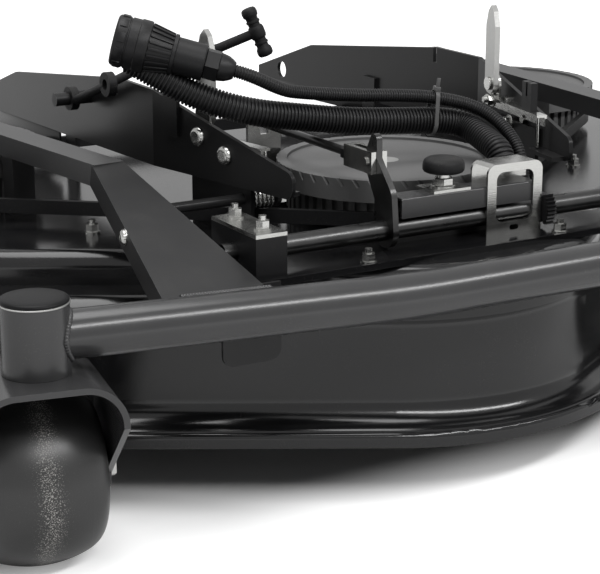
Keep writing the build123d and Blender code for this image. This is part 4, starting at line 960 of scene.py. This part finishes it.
def floor_piece():
    """Pale floor that keeps the shadow under the deck; ahead of the deck a painted light, seen by the camera
    only, lifts the floor towards white.
    """
    deselect()
    bpy.ops.mesh.primitive_plane_add(size=FLOOR_SIZE, location=(0, 0, 0))
    floor = bpy.context.object
    floor.name = "floor"
    material, tree, inputs = new_material("Pale floor")
    inputs["Base Color"].default_value = (FLOOR_ALBEDO, FLOOR_ALBEDO, FLOOR_ALBEDO, 1.0)
    inputs["Roughness"].default_value = 0.8
    glow = node(tree, "Emission", {"Color": (1, 1, 1, 1), "Strength": 1.0})
    seen = node(tree, "LightPath")
    place = node(tree, "TexCoord").outputs["Object"]
    away = node(tree, "VectorMath", {0: place}, operation="LENGTH").outputs["Value"]
    ahead = maths(tree, "MULTIPLY", node(tree, "SeparateXYZ", {"Vector": place}).outputs["Y"], -1.0)
    # Painted light ahead of the deck, seen by the camera only
    front_painted_light = maths(tree, "MULTIPLY", ramp(tree, ahead, *FRONT_FADE), seen.outputs["Is Camera Ray"])
    level = ramp(tree, away, *FAR_FADE)
    seen_or_shine = maths(tree, "MAXIMUM", seen.outputs["Is Camera Ray"], seen.outputs["Is Glossy Ray"])
    share = maths(tree, "MULTIPLY", seen_or_shine, level)
    share = maths(tree, "MAXIMUM", share, maths(tree, "MULTIPLY", front_painted_light, FRONT_PAINTED_LIGHT))
    tree.links.new(share, glow.inputs["Strength"])
    both = node(tree, "AddShader")
    tree.links.new(tree.nodes["Principled BSDF"].outputs[0], both.inputs[0])
    tree.links.new(glow.outputs[0], both.inputs[1])
    tree.links.new(both.outputs[0], tree.nodes["Material Output"].inputs["Surface"])
    floor.data.materials.append(material)


def soft_box(name, place, target, size, power):
    """Soft lamp with a rectangular face."""
    lamp = bpy.data.objects.new(name, bpy.data.lights.new(name, "AREA"))
    bpy.context.scene.collection.objects.link(lamp)
    lamp.data.shape = "RECTANGLE"
    lamp.data.size, lamp.data.size_y = size
    lamp.data.energy = power
    lamp.location = place
    aim = Vector(target) - Vector(place)
    lamp.rotation_euler = aim.to_track_quat("-Z", "Y").to_euler()


def pale_world(scene):
    """White to the camera and in reflections, softer as a light."""
    world = bpy.data.worlds.new("Pale world")
    scene.world = world
    world.use_nodes = True
    tree = world.node_tree
    seen = node(tree, "LightPath")
    plain = maths(tree, "MAXIMUM", seen.outputs["Is Camera Ray"], seen.outputs["Is Transmission Ray"])
    shine = maths(tree, "MAXIMUM", plain, maths(tree, "MULTIPLY", seen.outputs["Is Glossy Ray"], WORLD_SHINE))
    strength = maths(tree, "MAXIMUM", shine, WORLD_FILL)
    back = tree.nodes["Background"]
    back.inputs["Color"].default_value = (1.0, 1.0, 1.0, 1.0)
    tree.links.new(strength, back.inputs["Strength"])


class MOWER_PT_panel(bpy.types.Panel):
    """Lists the deck's steps and values"""

    bl_idname = "MOWER_PT_panel"
    bl_label = "Mower deck"
    bl_space_type = "VIEW_3D"
    bl_region_type = "UI"
    bl_category = "Mower deck"

    def draw(self, context):
        for step in STEPS:
            self.layout.operator("mower." + step)
        for group in (context.scene.deck_sizes, context.scene.deck_colours):
            for key in group.bl_rna.properties.keys():
                if key not in ("rna_type", "name"):
                    self.layout.prop(group, key)


STEPS = (
    "stage", "finishes", "hoses", "plug", "tie", "bolts", "bumper", "grip", "pivots", "welds", "rim",
    "skirts",
)
CLASSES = (
    DeckSizes, DeckColours, MOWER_OT_stage, MOWER_OT_finishes, MOWER_OT_hoses, MOWER_OT_plug,
    MOWER_OT_tie, MOWER_OT_bolts, MOWER_OT_bumper, MOWER_OT_grip, MOWER_OT_pivots, MOWER_OT_welds,
    MOWER_OT_rim, MOWER_OT_skirts, MOWER_PT_panel,
)


def register():
    for item in CLASSES:
        bpy.utils.register_class(item)
    bpy.types.Scene.deck_sizes = bpy.props.PointerProperty(type=DeckSizes)
    bpy.types.Scene.deck_colours = bpy.props.PointerProperty(type=DeckColours)


def unregister():
    del bpy.types.Scene.deck_sizes
    del bpy.types.Scene.deck_colours
    for item in reversed(CLASSES):
        bpy.utils.unregister_class(item)


def main():
    register()
    for step in STEPS:
        getattr(bpy.ops.mower, step)()


if __name__ == "__main__":
    main()
